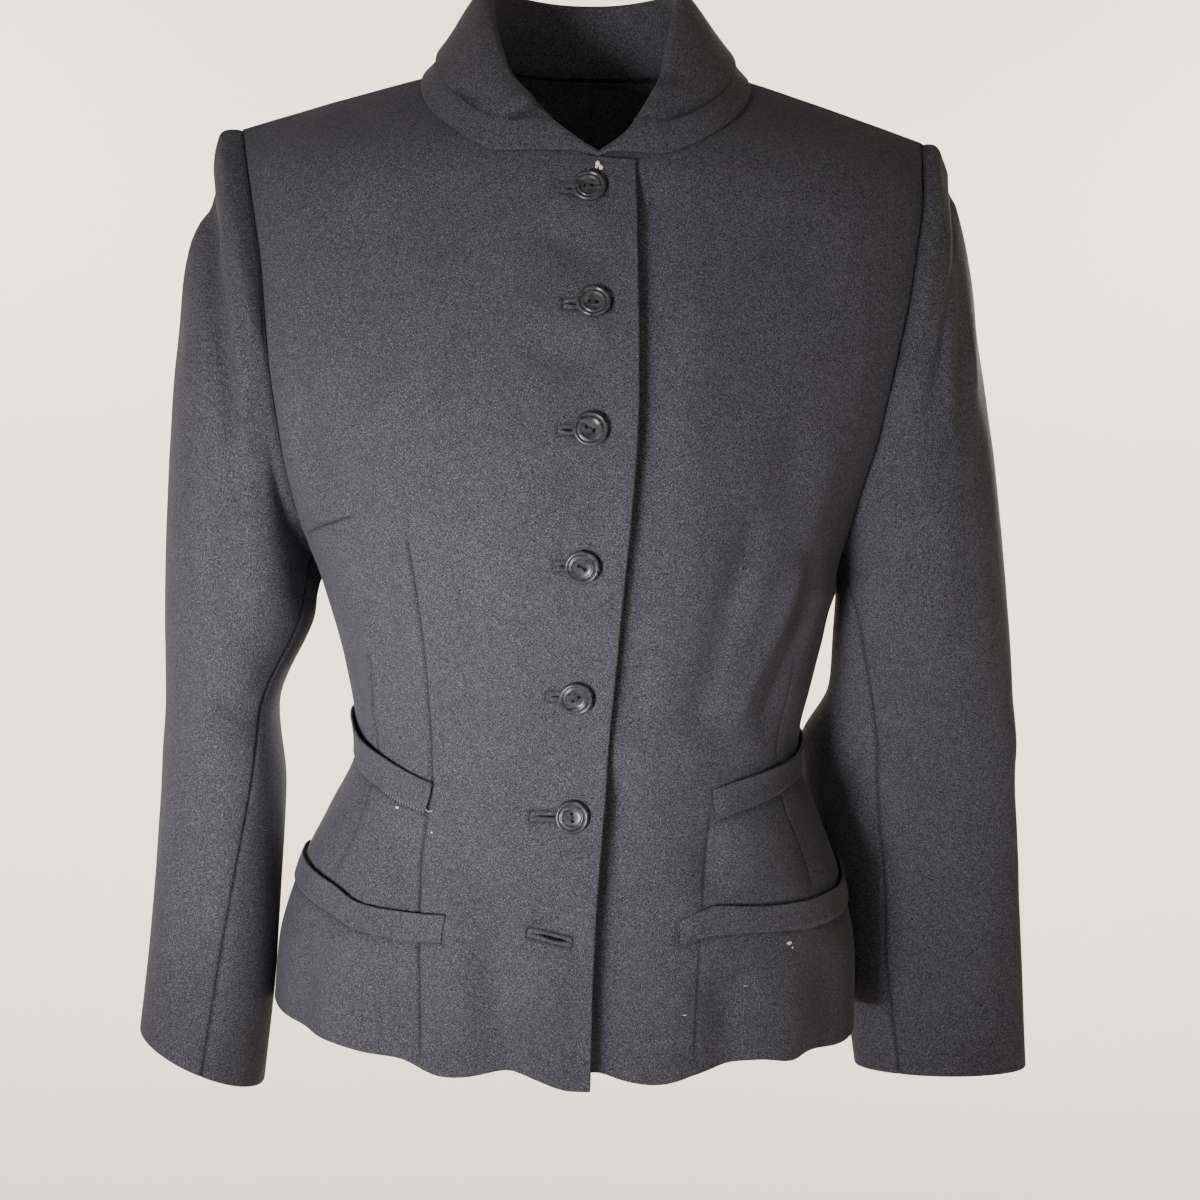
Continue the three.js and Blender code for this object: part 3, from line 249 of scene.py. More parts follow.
# Each crease: how deep (in is negative), how wide, and its path as x, z pairs.
CREASES = {
    "front_right": [
        (2.4, 9, [(26, -78), (28, -124), (29, -207), (27, -271), (23, -336), (17, -406), (14, -462),
                  (12, -592)]),
        (-2.7, 9, [(-34, -112), (-12, -121), (14, -131)]),
        (1.4, 9, [(-40, -96), (-8, -100), (16, -98)]),
        (-2.8, 10, [(-44, -172), (-14, -184), (14, -194)]),
        (1.5, 9, [(-46, -158), (-10, -162), (16, -164)]),
        (-1.7, 10, [(-38, -238), (-8, -244), (16, -248)]),
        (-1.3, 10, [(-40, -306), (-12, -312), (14, -312)]),
        (-1.1, 9, [(-36, -372), (-12, -380), (10, -386)]),
        (3.6, 9, [(-177, -192), (-170, -228), (-160, -264)]),
        (-3.6, 8, [(-163, -196), (-156, -234), (-145, -270)]),
        (-3.1, 12, [(-142, -242), (-129, -258), (-116, -272)]),
        (2.0, 11, [(-130, -232), (-116, -256), (-98, -268)]),
        (-1.7, 18, [(-128, -96), (-124, -130), (-112, -160)]),
        (4.0, 15, [(-60, -480), (-62, -530), (-66, -592)]),
        (-5.4, 13, [(-47, -500), (-40, -545), (-36, -592)]),
        (3.2, 12, [(-12, -500), (-10, -545), (-8, -592)]),
        (-4.0, 14, [(-98, -520), (-100, -550), (-104, -590)]),
        (3.5, 15, [(-132, -500), (-136, -540), (-142, -588)]),
        (-3.2, 11, [(-154, -512), (-158, -545), (-164, -588)]),
        (2.2, 8, [(-124, -318), (-122, -350), (-118, -408)]),
        (-2.2, 7, [(-133, -320), (-129, -360), (-126, -404)]),
        (-2.1, 9, [(-97, -440), (-95, -470), (-93, -500)]),
        (1.7, 10, [(-114, -446), (-116, -470), (-118, -498)]),
        (-1.4, 12, [(-62, -330), (-60, -370), (-62, -410)]),
        (1.1, 14, [(-40, -420), (-38, -450), (-40, -480)]),
    ],
    "front_left": [
        (-3.4, 9, [(35, -75), (37, -200), (34, -290), (28, -400)]),
        (1.7, 12, [(58, -110), (60, -200), (58, -290)]),
        (-6.7, 12, [(25, -405), (23, -500), (22, -592)]),
        (-2.8, 12, [(120, -206), (117, -236), (112, -276)]),
        (2.4, 10, [(140, -226), (134, -254), (124, -290)]),
        (4.6, 7, [(127, -284), (114, -325), (99, -359), (90, -384), (83, -404)]),
        (-5.2, 11, [(100, -262), (90, -300), (81, -340), (71, -379), (66, -404)]),
        (-4.8, 8, [(141, -300), (129, -337), (117, -369), (102, -404)]),
        (2.2, 7, [(150, -324), (142, -356), (132, -384), (124, -404)]),
        (-3.4, 9, [(77, -436), (76, -462), (78, -492)]),
        (2.2, 14, [(100, -430), (106, -460), (112, -496)]),
        (-2.0, 9, [(134, -446), (140, -470), (146, -500)]),
        (-5.4, 12, [(86, -520), (90, -556), (92, -592)]),
        (3.5, 14, [(62, -520), (60, -556), (58, -592)]),
        (3.2, 13, [(118, -520), (122, -556), (124, -590)]),
        (-3.4, 12, [(148, -516), (152, -550), (156, -590)]),
        (-1.7, 16, [(124, -100), (122, -130), (112, -158)]),
    ],
    "back_right": [
        (4.0, 14, [(-44, -300), (-40, -360), (-42, -420)]),
        (-3.8, 13, [(-72, -300), (-66, -360), (-64, -425)]),
        (3.1, 12, [(-112, -300), (-98, -350), (-90, -410)]),
        (-2.5, 12, [(-140, -232), (-118, -268), (-96, -290)]),
        (2.5, 14, [(-150, -196), (-130, -236), (-104, -262)]),
        (-3.1, 10, [(-20, -398), (-60, -404), (-104, -398)]),
        (3.2, 16, [(-52, -500), (-56, -545), (-60, -590)]),
        (-3.6, 16, [(-88, -480), (-94, -540), (-98, -590)]),
        (3.1, 16, [(-128, -500), (-136, -545), (-140, -588)]),
        (-2.3, 15, [(-84, -80), (-96, -110), (-100, -150)]),
    ],
    "back_left": [
        (3.6, 14, [(40, -296), (38, -356), (42, -422)]),
        (-4.0, 13, [(70, -306), (62, -362), (62, -428)]),
        (3.2, 12, [(116, -296), (100, -348), (88, -412)]),
        (-2.5, 12, [(142, -240), (122, -270), (98, -296)]),
        (2.3, 14, [(150, -204), (132, -240), (108, -268)]),
        (-2.5, 10, [(22, -392), (58, -400), (100, -392)]),
        (3.1, 16, [(50, -506), (52, -548), (54, -590)]),
        (-3.8, 16, [(86, -486), (92, -540), (98, -590)]),
        (2.7, 16, [(124, -506), (132, -545), (140, -588)]),
        (-2.0, 15, [(86, -90), (98, -118), (102, -156)]),
    ],
}


def beside(points, path):
    """How far each point lies from a path seen from the front, and how far along it."""
    path = np.array(path, float)
    total = run_of(path)
    best = np.full(points.shape[:-1], FAR)
    along = np.zeros_like(best)
    for a, b, run in zip(path, path[1:], total):
        way = b - a
        long = np.hypot(*way)
        k = np.clip(((points[..., 0] - a[0]) * way[0] + (points[..., 2] - a[1]) * way[1]) / long**2, 0, 1)
        off = np.hypot(points[..., 0] - a[0] - way[0] * k, points[..., 2] - a[1] - way[1] * k)
        nearer = off < best
        best = np.where(nearer, off, best)
        along = np.where(nearer, (run + k * long) / total[-1], along)
    return best, along


# A crease fades out over this share of its length, and over this many mm at most. One that
# reaches the hem runs on through it.
FADE_SHARE, FADE_MOST = 0.34, 26
HEM_REACHED = -560


def creased(points, normals, creases, fade):
    """Presses creases into points along their normals. Each dies out towards its own ends."""
    push = np.zeros(points.shape[:-1])
    for deep, wide, path in creases:
        off, along = beside(points, path)
        long = run_of(np.array(path, float))[-1]
        taper = min(FADE_SHARE * long, FADE_MOST)
        tail = 1 if path[-1][1] < HEM_REACHED else ease(0, taper, (1 - along) * long)
        push += deep * np.exp(-(off / wide) ** 2) * ease(0, taper, along * long) * tail
    return points + normals * (push * fade)[..., None]


def with_main_folds(name, grid, normals):
    """Lays the straight folds of the waist, away from the front edge and the side seam."""
    share = np.linspace(0, 1, SHARES)[None, :]
    fade = ease(0.2, 0.4, share) * (1 - ease(0.85, 1, share))
    push = np.zeros(grid.shape[:-1])
    folds = MAIN_FOLDS.get(name)
    for x1, z1, x2, z2, wide, deep in zip(*folds.values()) if folds else ():
        long = (x2 - x1) ** 2 + (z2 - z1) ** 2
        k = ((grid[..., 0] - x1) * (x2 - x1) + (grid[..., 2] - z1) * (z2 - z1)) / long
        off = np.hypot(grid[..., 0] - mix(x1, x2, k), grid[..., 2] - mix(z1, z2, k))
        push += deep * np.exp(-(off / wide) ** 2) * ease(-0.1, 0.3, k) * (1 - ease(0.8, 1.15, k))
    return grid + normals * (push * fade)[..., None]


for name in PANELS:
    grid = with_main_folds(name, skins[name], facing(skins[name], FLIP[name]))
    share = np.linspace(0, 1, SHARES)[None, :] * np.ones((TOP + 1, 1))
    edge = (1 - ease(0.93, 1, share)) * (1 - ease(560, 600, np.arange(TOP + 1)))[:, None]
    if name.startswith("back"):
        edge = edge * ease(0, 0.05, share)
    skins[name] = creased(grid, facing(grid, FLIP[name]), CREASES[name], edge)
skin_normals = {name: facing(skins[name], FLIP[name]) for name in PANELS}
print("creases:", {name: len(rows) for name, rows in CREASES.items()})


# %% Reading a skin
JUST_IN = 1e-6


def on_skin(name, rise, share, lift=0.0):
    """Points of a panel's outer face, moved out by a lift, and the normals there."""
    rise, share = np.broadcast_arrays(np.asarray(rise, float), np.asarray(share, float))
    r = np.clip(rise, 0, TOP - JUST_IN)
    s = np.clip(share, 0, 1) * (SHARES - 1 - JUST_IN)
    j, i = r.astype(int), s.astype(int)
    kr, ks = (r - j)[..., None], (s - i)[..., None]

    def read(grid):
        return (grid[j, i] * (1 - kr) * (1 - ks) + grid[j + 1, i] * kr * (1 - ks)
                + grid[j, i + 1] * (1 - kr) * ks + grid[j + 1, i + 1] * kr * ks)
    n = unit(read(skin_normals[name]))
    return read(skins[name]) + n * np.asarray(lift, float)[..., None], n


def row_length(name, rise):
    return run_of(on_skin(name, rise, np.linspace(0, 1, 80))[0])[-1]


def share_at(name, rise, x):
    """The share along a row where the panel crosses an x."""
    line, _ = on_skin(name, rise, np.linspace(0, 1, SHARES))
    hand = PANELS[name][1]
    return float(np.interp(hand * x, hand * line[:, 0], np.linspace(0, 1, SHARES)))


print("front edge at the underarm, x mm:", round(float(on_skin("front_right", UNDERARM, 0)[0][0]), 1))

# %% [markdown]
# ## Walls of cloth
# Every cut piece is a closed wall: a grid of outer points, a grid of inner points and a rounded
# rim between them. Solidify could give the thickness, but this rim can be full and round at a
# turned edge and tight at a seam, and cells can be left out for a buttonhole.

# %% Wall mesher
RIM_STEPS = 4


def added(name, data):
    """A new object in the scene, at the origin."""
    made = bpy.data.objects.new(name, data)
    bpy.context.scene.collection.objects.link(made)
    return made


def open_edges(quads):
    """The edges that only one cell uses, each in that cell's own direction."""
    edges = {}
    for quad in quads:
        for a, b in zip(quad, quad[1:] + quad[:1]):
            if (b, a) in edges:
                del edges[(b, a)]
            else:
                edges[(a, b)] = True
    return list(edges)


def rim_directions(edges, points, through, sign):
    """At each corner of the rim, the unit direction out of the sheet's own edge."""
    away = {}
    for a, b in edges:
        side = np.cross(points[b] - points[a], through[a]) * sign
        side = side / max(np.linalg.norm(side), TINY)
        for v in (a, b):
            away[v] = away.get(v, 0) + side
    return {v: side / max(np.linalg.norm(side), TINY) for v, side in away.items()}


def wall(name, outer, inner, places, keep=None, bulge=None, nap_and_shade=None):
    """A closed wall. places: cloth coordinates in mm; keep: cells that stay; bulge: rim fullness;
    and last, how much painted shade darkens the outer face in seams and creases, from 0 to 1; in a seam the
    nap also lies flat."""
    rows, cols = outer.shape[:2]
    count = rows * cols
    nap_and_shade = np.zeros((rows, cols)) if nap_and_shade is None else nap_and_shade
    keep = np.ones((rows - 1, cols - 1), bool) if keep is None else keep
    fullness = np.full(count, SEAM_FULL) if bulge is None else bulge.reshape(-1)
    at = np.arange(count).reshape(rows, cols)
    points = outer.reshape(-1, 3)
    through = points - inner.reshape(-1, 3)
    spots = places.reshape(-1, 2)
    verts = [*points, *inner.reshape(-1, 3)]
    uv = [*spots] * 2
    nap_and_shade_values = [*nap_and_shade.reshape(-1), *np.zeros(count)]
    cells = np.stack([at[:-1, :-1], at[:-1, 1:], at[1:, 1:], at[1:, :-1]], -1)[keep]
    quads = cells.tolist()
    faces = [*quads, *(cells[:, ::-1] + count).tolist()]
    corner, beside, _, above = (points[v] for v in quads[0])
    turned = np.cross(beside - corner, above - corner)
    sign = math.copysign(1, float(turned @ through[quads[0][0]]))
    edges = open_edges(quads)
    ring = {}
    for v, side in rim_directions(edges, points, through, sign).items():
        middle = (points[v] + verts[v + count]) / 2
        ring[v] = [v]
        for step in range(1, RIM_STEPS):
            turn = math.pi * step / RIM_STEPS
            ring[v].append(len(verts))
            verts.append(middle + through[v] / 2 * math.cos(turn) + side * fullness[v] * math.sin(turn))
            uv.append(spots[v])
            nap_and_shade_values.append(nap_and_shade.reshape(-1)[v])
        ring[v].append(v + count)
    for a, b in edges:
        for k in range(RIM_STEPS):
            faces.append([ring[b][k], ring[a][k], ring[a][k + 1], ring[b][k + 1]])
    return mesh_piece(name, np.array(verts) * MM, faces, np.array(uv) * MM, nap_and_shade_values)


def mesh_piece(name, verts, faces, uv=None, nap_and_shade_values=None):
    """A smooth closed mesh that faces outwards, with its cloth coordinates and the painted shade of its seams
    and creases.
    """
    mesh = bpy.data.meshes.new(name)
    mesh.from_pydata([tuple(v) for v in verts], [], [tuple(f) for f in faces])
    work = bmesh.new()
    work.from_mesh(mesh)
    if uv is not None:
        layer = work.loops.layers.uv.new("Cloth")
        for face in work.faces:
            for loop in face.loops:
                loop[layer].uv = uv[loop.vert.index]
    if nap_and_shade_values is not None:
        nap_and_shade_attribute = work.verts.layers.float.new("nap_and_shade")
        for v in work.verts:
            v[nap_and_shade_attribute] = nap_and_shade_values[v.index]
    loose = [v for v in work.verts if not v.link_faces]
    bmesh.ops.delete(work, geom=loose, context="VERTS")
    if work.calc_volume(signed=True) < 0:
        bmesh.ops.reverse_faces(work, faces=work.faces)
    for face in work.faces:
        face.smooth = True
    work.to_mesh(mesh)
    work.free()
    return added(name, mesh)


# %% Uneven cloth and close columns
SEED_STEP = 7.31


def unevenness(points, size, seed):
    """Slow, soft unevenness of hand-pressed cloth, from -1 to 1."""
    flat = points.reshape(-1, 3) / size + seed * SEED_STEP
    return np.array([noise.noise(Vector(p)) for p in flat]).reshape(points.shape[:-1])


def hand_pressed(points, at, normals, deep, size, seed):
    """Moves points by the unevenness that steam and a hand leave: how deep, and how wide."""
    return points + normals * (deep * unevenness(at, size, seed))[..., None]


# Columns or rows beside a seam line lie this far from it, in mm. They draw together in a span
# that is less than SPAN_ROOM times the last of these, and a shorter one than LEAST_SPAN has none.
BESIDE_LINE = (0.7, 1.6, 2.9)
SPAN_ROOM, LEAST_SPAN = 2.6, 1.5


def spaced(controls, length, step, near=BESIDE_LINE):
    """Places along a line, in shares: close beside each control place, even in between."""
    places = [controls[0]]
    for a, b in zip(controls, controls[1:]):
        span = (b - a) * length
        if span > LEAST_SPAN:
            lead = np.array(near) * min(1, span / (SPAN_ROOM * near[-1]))
            count = int(max(span - 2 * lead[-1], 0) / step)
            inner = np.linspace(lead[-1], span - lead[-1], count + 2)
            inside = [*lead[:-1], *inner, *(span - lead[:-1][::-1])]
            places += [a + m / length for m in inside]
        places.append(b)
    return np.array(places)


print("places on a line of 20 mm:", np.round(spaced([0, 1], 20, 4), 2))

# %% [markdown]
# ## Fronts and backs
# Each panel's columns follow its seams, so a dart is a true crease in the mesh: the two long
# front darts, the short side darts and, on the right front, the frames of the buttonholes. The
# cloth dips into every seam, as it does when it is pressed open over its allowances.

# %% Seam lines of the fronts
# Where the front darts run: x at each rise, the rises between which they show, and how deep.
DARTS = {
    "front_right": {
        "front dart": (table("rise x", [
            (0, -86), (42, -87), (92, -88), (115, -88.5), (147, -85), (163, -83), (188, -84),
            (235, -87), (280, -91), (301, -94), (322, -97)]), 3, 322, 1.2),
        "side dart": (table("rise x", [
            (0, -147), (102, -141), (125, -131), (147, -124), (173, -118), (206, -120.5), (245, -121),
            (322, -128)]), 98, 246, 0.7),
    },
    "front_left": {
        "front dart": (table("rise x", [
            (0, 70), (46, 71), (77, 72), (119, 74), (163, 78), (203, 80), (240, 82), (274, 86),
            (305, 90)]), 3, 160, 0.8),
        "side dart": (table("rise x", [
            (0, 148), (102, 140), (128, 131), (150, 122), (184, 117), (204, 121), (218, 124),
            (245, 127), (305, 138)]), 98, 246, 0.4),
    },
}
BUST_DART = {"share": (0.673, 0.908), "rise": (327, 320), "deep": 1.2}
BUST_ROW = sum(BUST_DART["rise"]) / 2
print("darts:", {name: list(darts) for name, darts in DARTS.items()})

# %% Buttonholes and welts on the fronts
LIP_TALL, LIP_END = 6, 1.5
# Each closure, from the top: its rise, the x of its button, where its slit starts and how long
# that is, how far the slit falls along its length and gapes, and how its button is turned.
CLOSURES = table("rise button slit long fall gape turn", [
    (501, 0, -13.5, 21, 0, 2.6, 4), (435, 4, -11, 23, 0, 2.6, -6), (367, 4, -12, 23, 0, 2.6, -22),
    (293, 1, -13, 23, 0, 2.2, -30), (218, -1, -16, 23, 0, 2.0, 38), (150, -2, -24, 28, 0, 1.8, -80),
    (83, 0, -24, 22, 5, 3.4, 0)])
BUTTONS = 6
# Where each welt lies: its lower and upper edge at each share of the row, and how far it gapes.
WELTS = {
    "waist_welt_right": ("front_right", table("share low high gape", [
        (0.461, 147, 163, 0.2), (0.533, 150, 167, 0.6), (0.643, 156, 174, 1.3), (0.752, 160, 181, 2.6),
        (0.861, 165, 189, 1.3), (0.995, 168, 193, 0)])),
    "waist_welt_left": ("front_left", table("share low high gape", [
        (0.457, 146, 163, 0.6), (0.53, 150, 167, 2), (0.64, 154, 171, 2.8), (0.75, 158, 174, 3),
        (0.86, 160, 179, 2.2), (0.995, 163, 184, 0)])),
    "hip_welt_right": ("front_right", table("share low high gape", [
        (0.34, 76, 91, 0.2), (0.44, 74.5, 90, 0.6), (0.548, 76, 91, 1), (0.656, 82, 98, 1.3),
        (0.803, 86, 102, 1), (0.995, 88, 105, 0)])),
    "hip_welt_left": ("front_left", table("share low high gape", [
        (0.336, 78, 91, 0.4), (0.42, 82, 98, 0.8), (0.55, 80.5, 95.5, 1.2), (0.68, 78, 94, 1.5),
        (0.82, 78, 95, 2), (0.995, 84, 106, 0.4)])),
}


def groove(distance, deep, wide):
    return deep * np.exp(-(distance / wide) ** 2)


def closures():
    return [dict(zip(CLOSURES, row)) for row in zip(*CLOSURES.values())]


def slit_bounds(rise):
    """Where a buttonhole's frame starts and ends at a rise, read between the buttonholes."""
    rises = CLOSURES["rise"][::-1]
    left = (CLOSURES["slit"] - LIP_END)[::-1]
    right = (CLOSURES["slit"] + CLOSURES["long"] + LIP_END)[::-1]
    return np.interp(rise, rises, left), np.interp(rise, rises, right)


print("closures:", len(closures()), "welts:", list(WELTS))

# %% Grid of one panel
# Rows and columns lie PANEL_STEP mm apart, rows under the welts FINE_STEP. A row is HEM_RUN long
# at the hem, and its columns draw together in a span under NARROW.
PANEL_STEP, FINE_STEP = 4.0, 2.2
WELT_RISES = (70, 200)
HEM_RUN = 262
NARROW = 9
# Rows lean towards the bust dart and the lowest slit over this many mm above and below.
BUST_LEANS, SLIT_LEANS = 9, 16


def panel_lines(name, rise):
    """Control shares across one row: edge, buttonhole frame, darts, side."""
    r = min(rise, NECK_FRONT - 1)
    lines = [0.0]
    if name == "front_right":
        left, right = slit_bounds(r)
        lines += [share_at(name, r, right), share_at(name, r, left)]
    if name in DARTS:
        for rows, _, _, _ in DARTS[name].values():
            lines.append(share_at(name, r, float(curve(rows, "rise", "x")(r))))
    return lines + [1.0]


def halved(places, low, high, most):
    """Adds a place in the middle of each wide step between low and high."""
    middle = (places[1:] + places[:-1]) / 2
    wide = (np.diff(places) > most) & (middle > low) & (middle < high)
    return np.sort(np.concatenate([places, middle[wide]]))


def panel_rises(name):
    """Rises of a panel's rows: close together at its edges, its frames and its bust dart."""
    front = PANELS[name][0] == "front"
    stops = [0.0, TOP]
    if front:
        stops += [NECK_FRONT - 1, NECK_FRONT]
    if name == "front_right":
        stops.append(BUST_ROW)
        for closure in closures():
            stops += [closure["rise"] - LIP_TALL / 2, closure["rise"] + LIP_TALL / 2]
    rises = spaced(np.array(sorted(stops)) / TOP, TOP, PANEL_STEP) * TOP
    return halved(rises, *WELT_RISES, FINE_STEP) if front else rises


def panel_shares(name, rises):
    """Shares of the columns on each row: as many on every row, and close beside each line."""
    count = None
    share = []
    for rise in rises:
        lines = panel_lines(name, rise)
        length = row_length(name, rise)
        if count is None:
            count = [max(3, int((b - a) * HEM_RUN / PANEL_STEP) - 2) for a, b in zip(lines, lines[1:])]
        row = [lines[0]]
        for a, b, n in zip(lines, lines[1:], count):
            span = (b - a) * length
            lead = np.array(BESIDE_LINE) * min(1, span / NARROW)
            inner = np.linspace(lead[-1], span - lead[-1], n)
            inside = [*lead[:-1], *inner, *(span - lead[:-1][::-1])]
            row += [a + m / length for m in inside] + [b]
        share.append(row)
    return np.array(share)


def bust_line(share):
    """How far along the bust dart each share lies, and the dart's own rise there."""
    first, last = BUST_DART["share"]
    k = (share - first) / (last - first)
    return k, mix(*BUST_DART["rise"], np.clip(k, 0, 1))


def warp_rows(rise, share):
    """Leans a few rows so that they follow the bust dart and the sloping lowest buttonhole."""
    k, line = bust_line(share)
    shift = (line - BUST_ROW) * np.exp(-((rise - BUST_ROW) / BUST_LEANS) ** 2) * ease(-0.5, 0, k)
    low = closures()[-1]
    left, right = (share_at("front_right", low["rise"], x) for x in slit_bounds(low["rise"]))
    k = (share - right) / (left - right)
    beside = (1 - ease(1, 2.5, k)) * ease(-1, 0, k)
    near = np.exp(-((rise - low["rise"]) / SLIT_LEANS) ** 2)
    return shift + low["fall"] * (np.clip(k, 0, 1) - 0.5) * near * beside


grid_rises = {name: panel_rises(name) for name in PANELS}
print("rows:", {name: len(rises) for name, rises in grid_rises.items()})

# %% Frames of the buttonholes
FRAME_DIP = (0.8, 1.3)
FRAME_NEAR = 14


def frame_columns(share, rise_index, rises):
    left, right = slit_bounds(rises[rise_index])
    a = share_at("front_right", rises[rise_index], right)
    b = share_at("front_right", rises[rise_index], left)
    return int(np.argmin(abs(share[rise_index] - a))), int(np.argmin(abs(share[rise_index] - b)))


def frame_cells(rises, share):
    """Cells that stay: all but those inside the seven buttonhole frames."""
    keep = np.ones((share.shape[0] - 1, share.shape[1] - 1), bool)
    for closure in closures():
        low = int(np.argmin(abs(rises - closure["rise"] + LIP_TALL / 2)))
        high = int(np.argmin(abs(rises - closure["rise"] - LIP_TALL / 2)))
        a, b = frame_columns(share, low, rises)
        keep[low:high, a:b] = False
    return keep


def frame_dips(rise, smooth):
    """The cloth sinks a little towards each buttonhole's frame."""
    dip = np.zeros(rise.shape)
    for closure in closures():
        left, right = slit_bounds(closure["rise"])
        middle = closure["rise"] + closure["fall"] * ((left + right) / 2 - smooth[..., 0]) / (right - left)
        across = np.abs(smooth[..., 0] - (left + right) / 2) - (right - left) / 2
        up = np.abs(rise - middle) - LIP_TALL / 2
        off = np.hypot(np.maximum(across, 0), np.maximum(up, 0))
        near = np.abs(rise - closure["rise"]) < FRAME_NEAR
        dip += np.where(near, groove(off, *FRAME_DIP), 0)
    return dip


print("frames, mm:", [round(float(right - left), 1) for left, right in
                      (slit_bounds(closure["rise"]) for closure in closures())])

# %% Dips at the seams
# How deep a dip is and how wide, in mm. A dip as deep as the last of these gets the darkest painted shade,
# and its nap lies quite flat.
SEAM_DIP, SLEEVE_SEAM_DIP, HEAD_DIP = (0.6, 1.2), (1.0, 1.2), (0.5, 1.2)
DART_WIDE = 0.95
DART_STARTS, DART_ENDS = (-2, 14), (-16, 0)
DIP_DARKEST = 1.3
# Beside a welt: the painted shade line along its foot, the one at its end, and the dip of the cloth under it.
FOOT_LINE, END_LINE, FOOT_DIP = (0.7, 1.1), (0.8, 1.1), (1.1, 1.9)


def dart_dips(name, rise, smooth):
    """The darts' own creases, each between the rises where it shows."""
    dip = np.zeros(rise.shape)
    for rows, bottom, top, deep in DARTS.get(name, {}).values():
        x = curve(rows, "rise", "x")(rise)
        shown = ease(*DART_STARTS, rise - bottom) * (1 - ease(*DART_ENDS, rise - top))
        dip += groove(np.abs(smooth[..., 0] - x), deep, DART_WIDE) * shown
    return dip


def welt_marks(name, rise, share, length):
    """Painted shade along the welts' feet and at their ends, and the dip of the cloth along their sewn edges.
    """
    line, dip = np.zeros(rise.shape), np.zeros(rise.shape)
    for panel, rows in WELTS.values():
        if panel == name:
            start, low, high = rows["share"][0], rows["low"][0], rows["high"][0]
            below = np.abs(rise - (curve(rows, "share", "low")(share) - 0.5))
            line += groove(below, *FOOT_LINE) * ease(start - 0.01, start, share)
            beside_end = (rise > low - 1) & (rise < high + 1)
            line += np.where(beside_end, groove((share - start) * length, *END_LINE), 0)
            dip += groove(below, *FOOT_DIP) * ease(start - 0.03, start, share)
    return line, dip


def flatten(normals, axis, weight):
    normals[..., axis] *= 1 - weight


# Prints the share of the darkest painted shade that a plain seam's dip falls short of.
print("nap left in a seam:", round(1 - groove(0, *SEAM_DIP) / DIP_DARKEST, 2))

# %% Fronts and backs
# Beside a seam the wall's thickness turns square to it, over TURN_IN mm.
TURN_IN = 6
UNEVEN, COLLAR_UNEVEN, WELT_UNEVEN = (0.22, 26), (0.15, 18), (0.18, 9)
# Each kind of piece is cut from its own place on the cloth, in mm.
CUT_FROM = {"panel": 40, "sleeve under": 600, "welt": 300, "lip": 40}


def build_panel(name):
    part = PANELS[name][0]
    rises = grid_rises[name]
    share = panel_shares(name, rises)
    rise = np.repeat(rises[:, None], share.shape[1], 1)
    if name == "front_right":
        rise = rise + warp_rows(rise, share)
    smooth, normals = on_skin(name, rise, share)
    length = np.array([run_of(line)[-1] for line in smooth])[:, None]
    from_start, from_end = share * length, (1 - share) * length
    dip = groove(from_end, *SEAM_DIP) + groove(TOP - rise, *SEAM_DIP)
    if part == "back":
        dip += groove(from_start, *SEAM_DIP)
    dip += dart_dips(name, rise, smooth)
    keep = None
    if name == "front_right":
        k, line = bust_line(share)
        shown = ease(-0.02, 0.12, k) * (1 - ease(0.97, 1.03, k))
        dip += groove(np.abs(rise - line), BUST_DART["deep"], DART_WIDE) * shown
        dip += frame_dips(rise, smooth)
        keep = frame_cells(rises, share)
    welt_shade_lines, welt_dip = welt_marks(name, rise, share, length)
    # Painted shade: seams, darts and the buttonhole frames darken with their dips, where the nap also lies
    # flat, and a fine dark line runs along each welt's foot and end.
    nap_and_shade = np.clip(dip / DIP_DARKEST + welt_shade_lines, 0, 1)
    outer = smooth - normals * (dip + welt_dip)[..., None]
    outer = hand_pressed(outer, smooth, normals, *UNEVEN, FLIP[name])
    inward = normals.copy()
    flatten(inward, 1, 1 - ease(0, TURN_IN, TOP - rise))
    flatten(inward, 1, (1 - ease(0, TURN_IN, from_end)) * (rise <= UNDERARM))
    if part == "back":
        flatten(inward, 0, 1 - ease(0, TURN_IN, from_start))
    inner = smooth - unit(inward) * CLOTH
    bulge = np.full(rise.shape, SEAM_FULL)
    bulge[:, -1] = np.where(rise[:, -1] > UNDERARM, ARMHOLE_FULL, SEAM_FULL)
    bulge[0] = HEM_FULL
    bulge[-1] = SHOULDER_FULL
    if part == "front":
        bulge[:, 0] = np.where(rises < NECK_FRONT, FRONT_EDGE_FULL, NECK_FULL)
    places = np.stack([from_start + CUT_FROM["panel"], rise], -1)
    return wall(f"cloth_{name}", outer, inner, places, keep, bulge, nap_and_shade)


cloth = {name: build_panel(name) for name in PANELS}
for name, piece in cloth.items():
    print(name, "faces:", len(piece.data.polygons))

# %% [markdown]
# ## Sleeves
# A tailored sleeve is cut in two pieces, a wide top and a narrow under, and eased into the
# armhole so that its head stands up beside the shoulder. Its rings start on the armhole itself,
# leave it sideways, fall, and then follow sections taken down the arm.

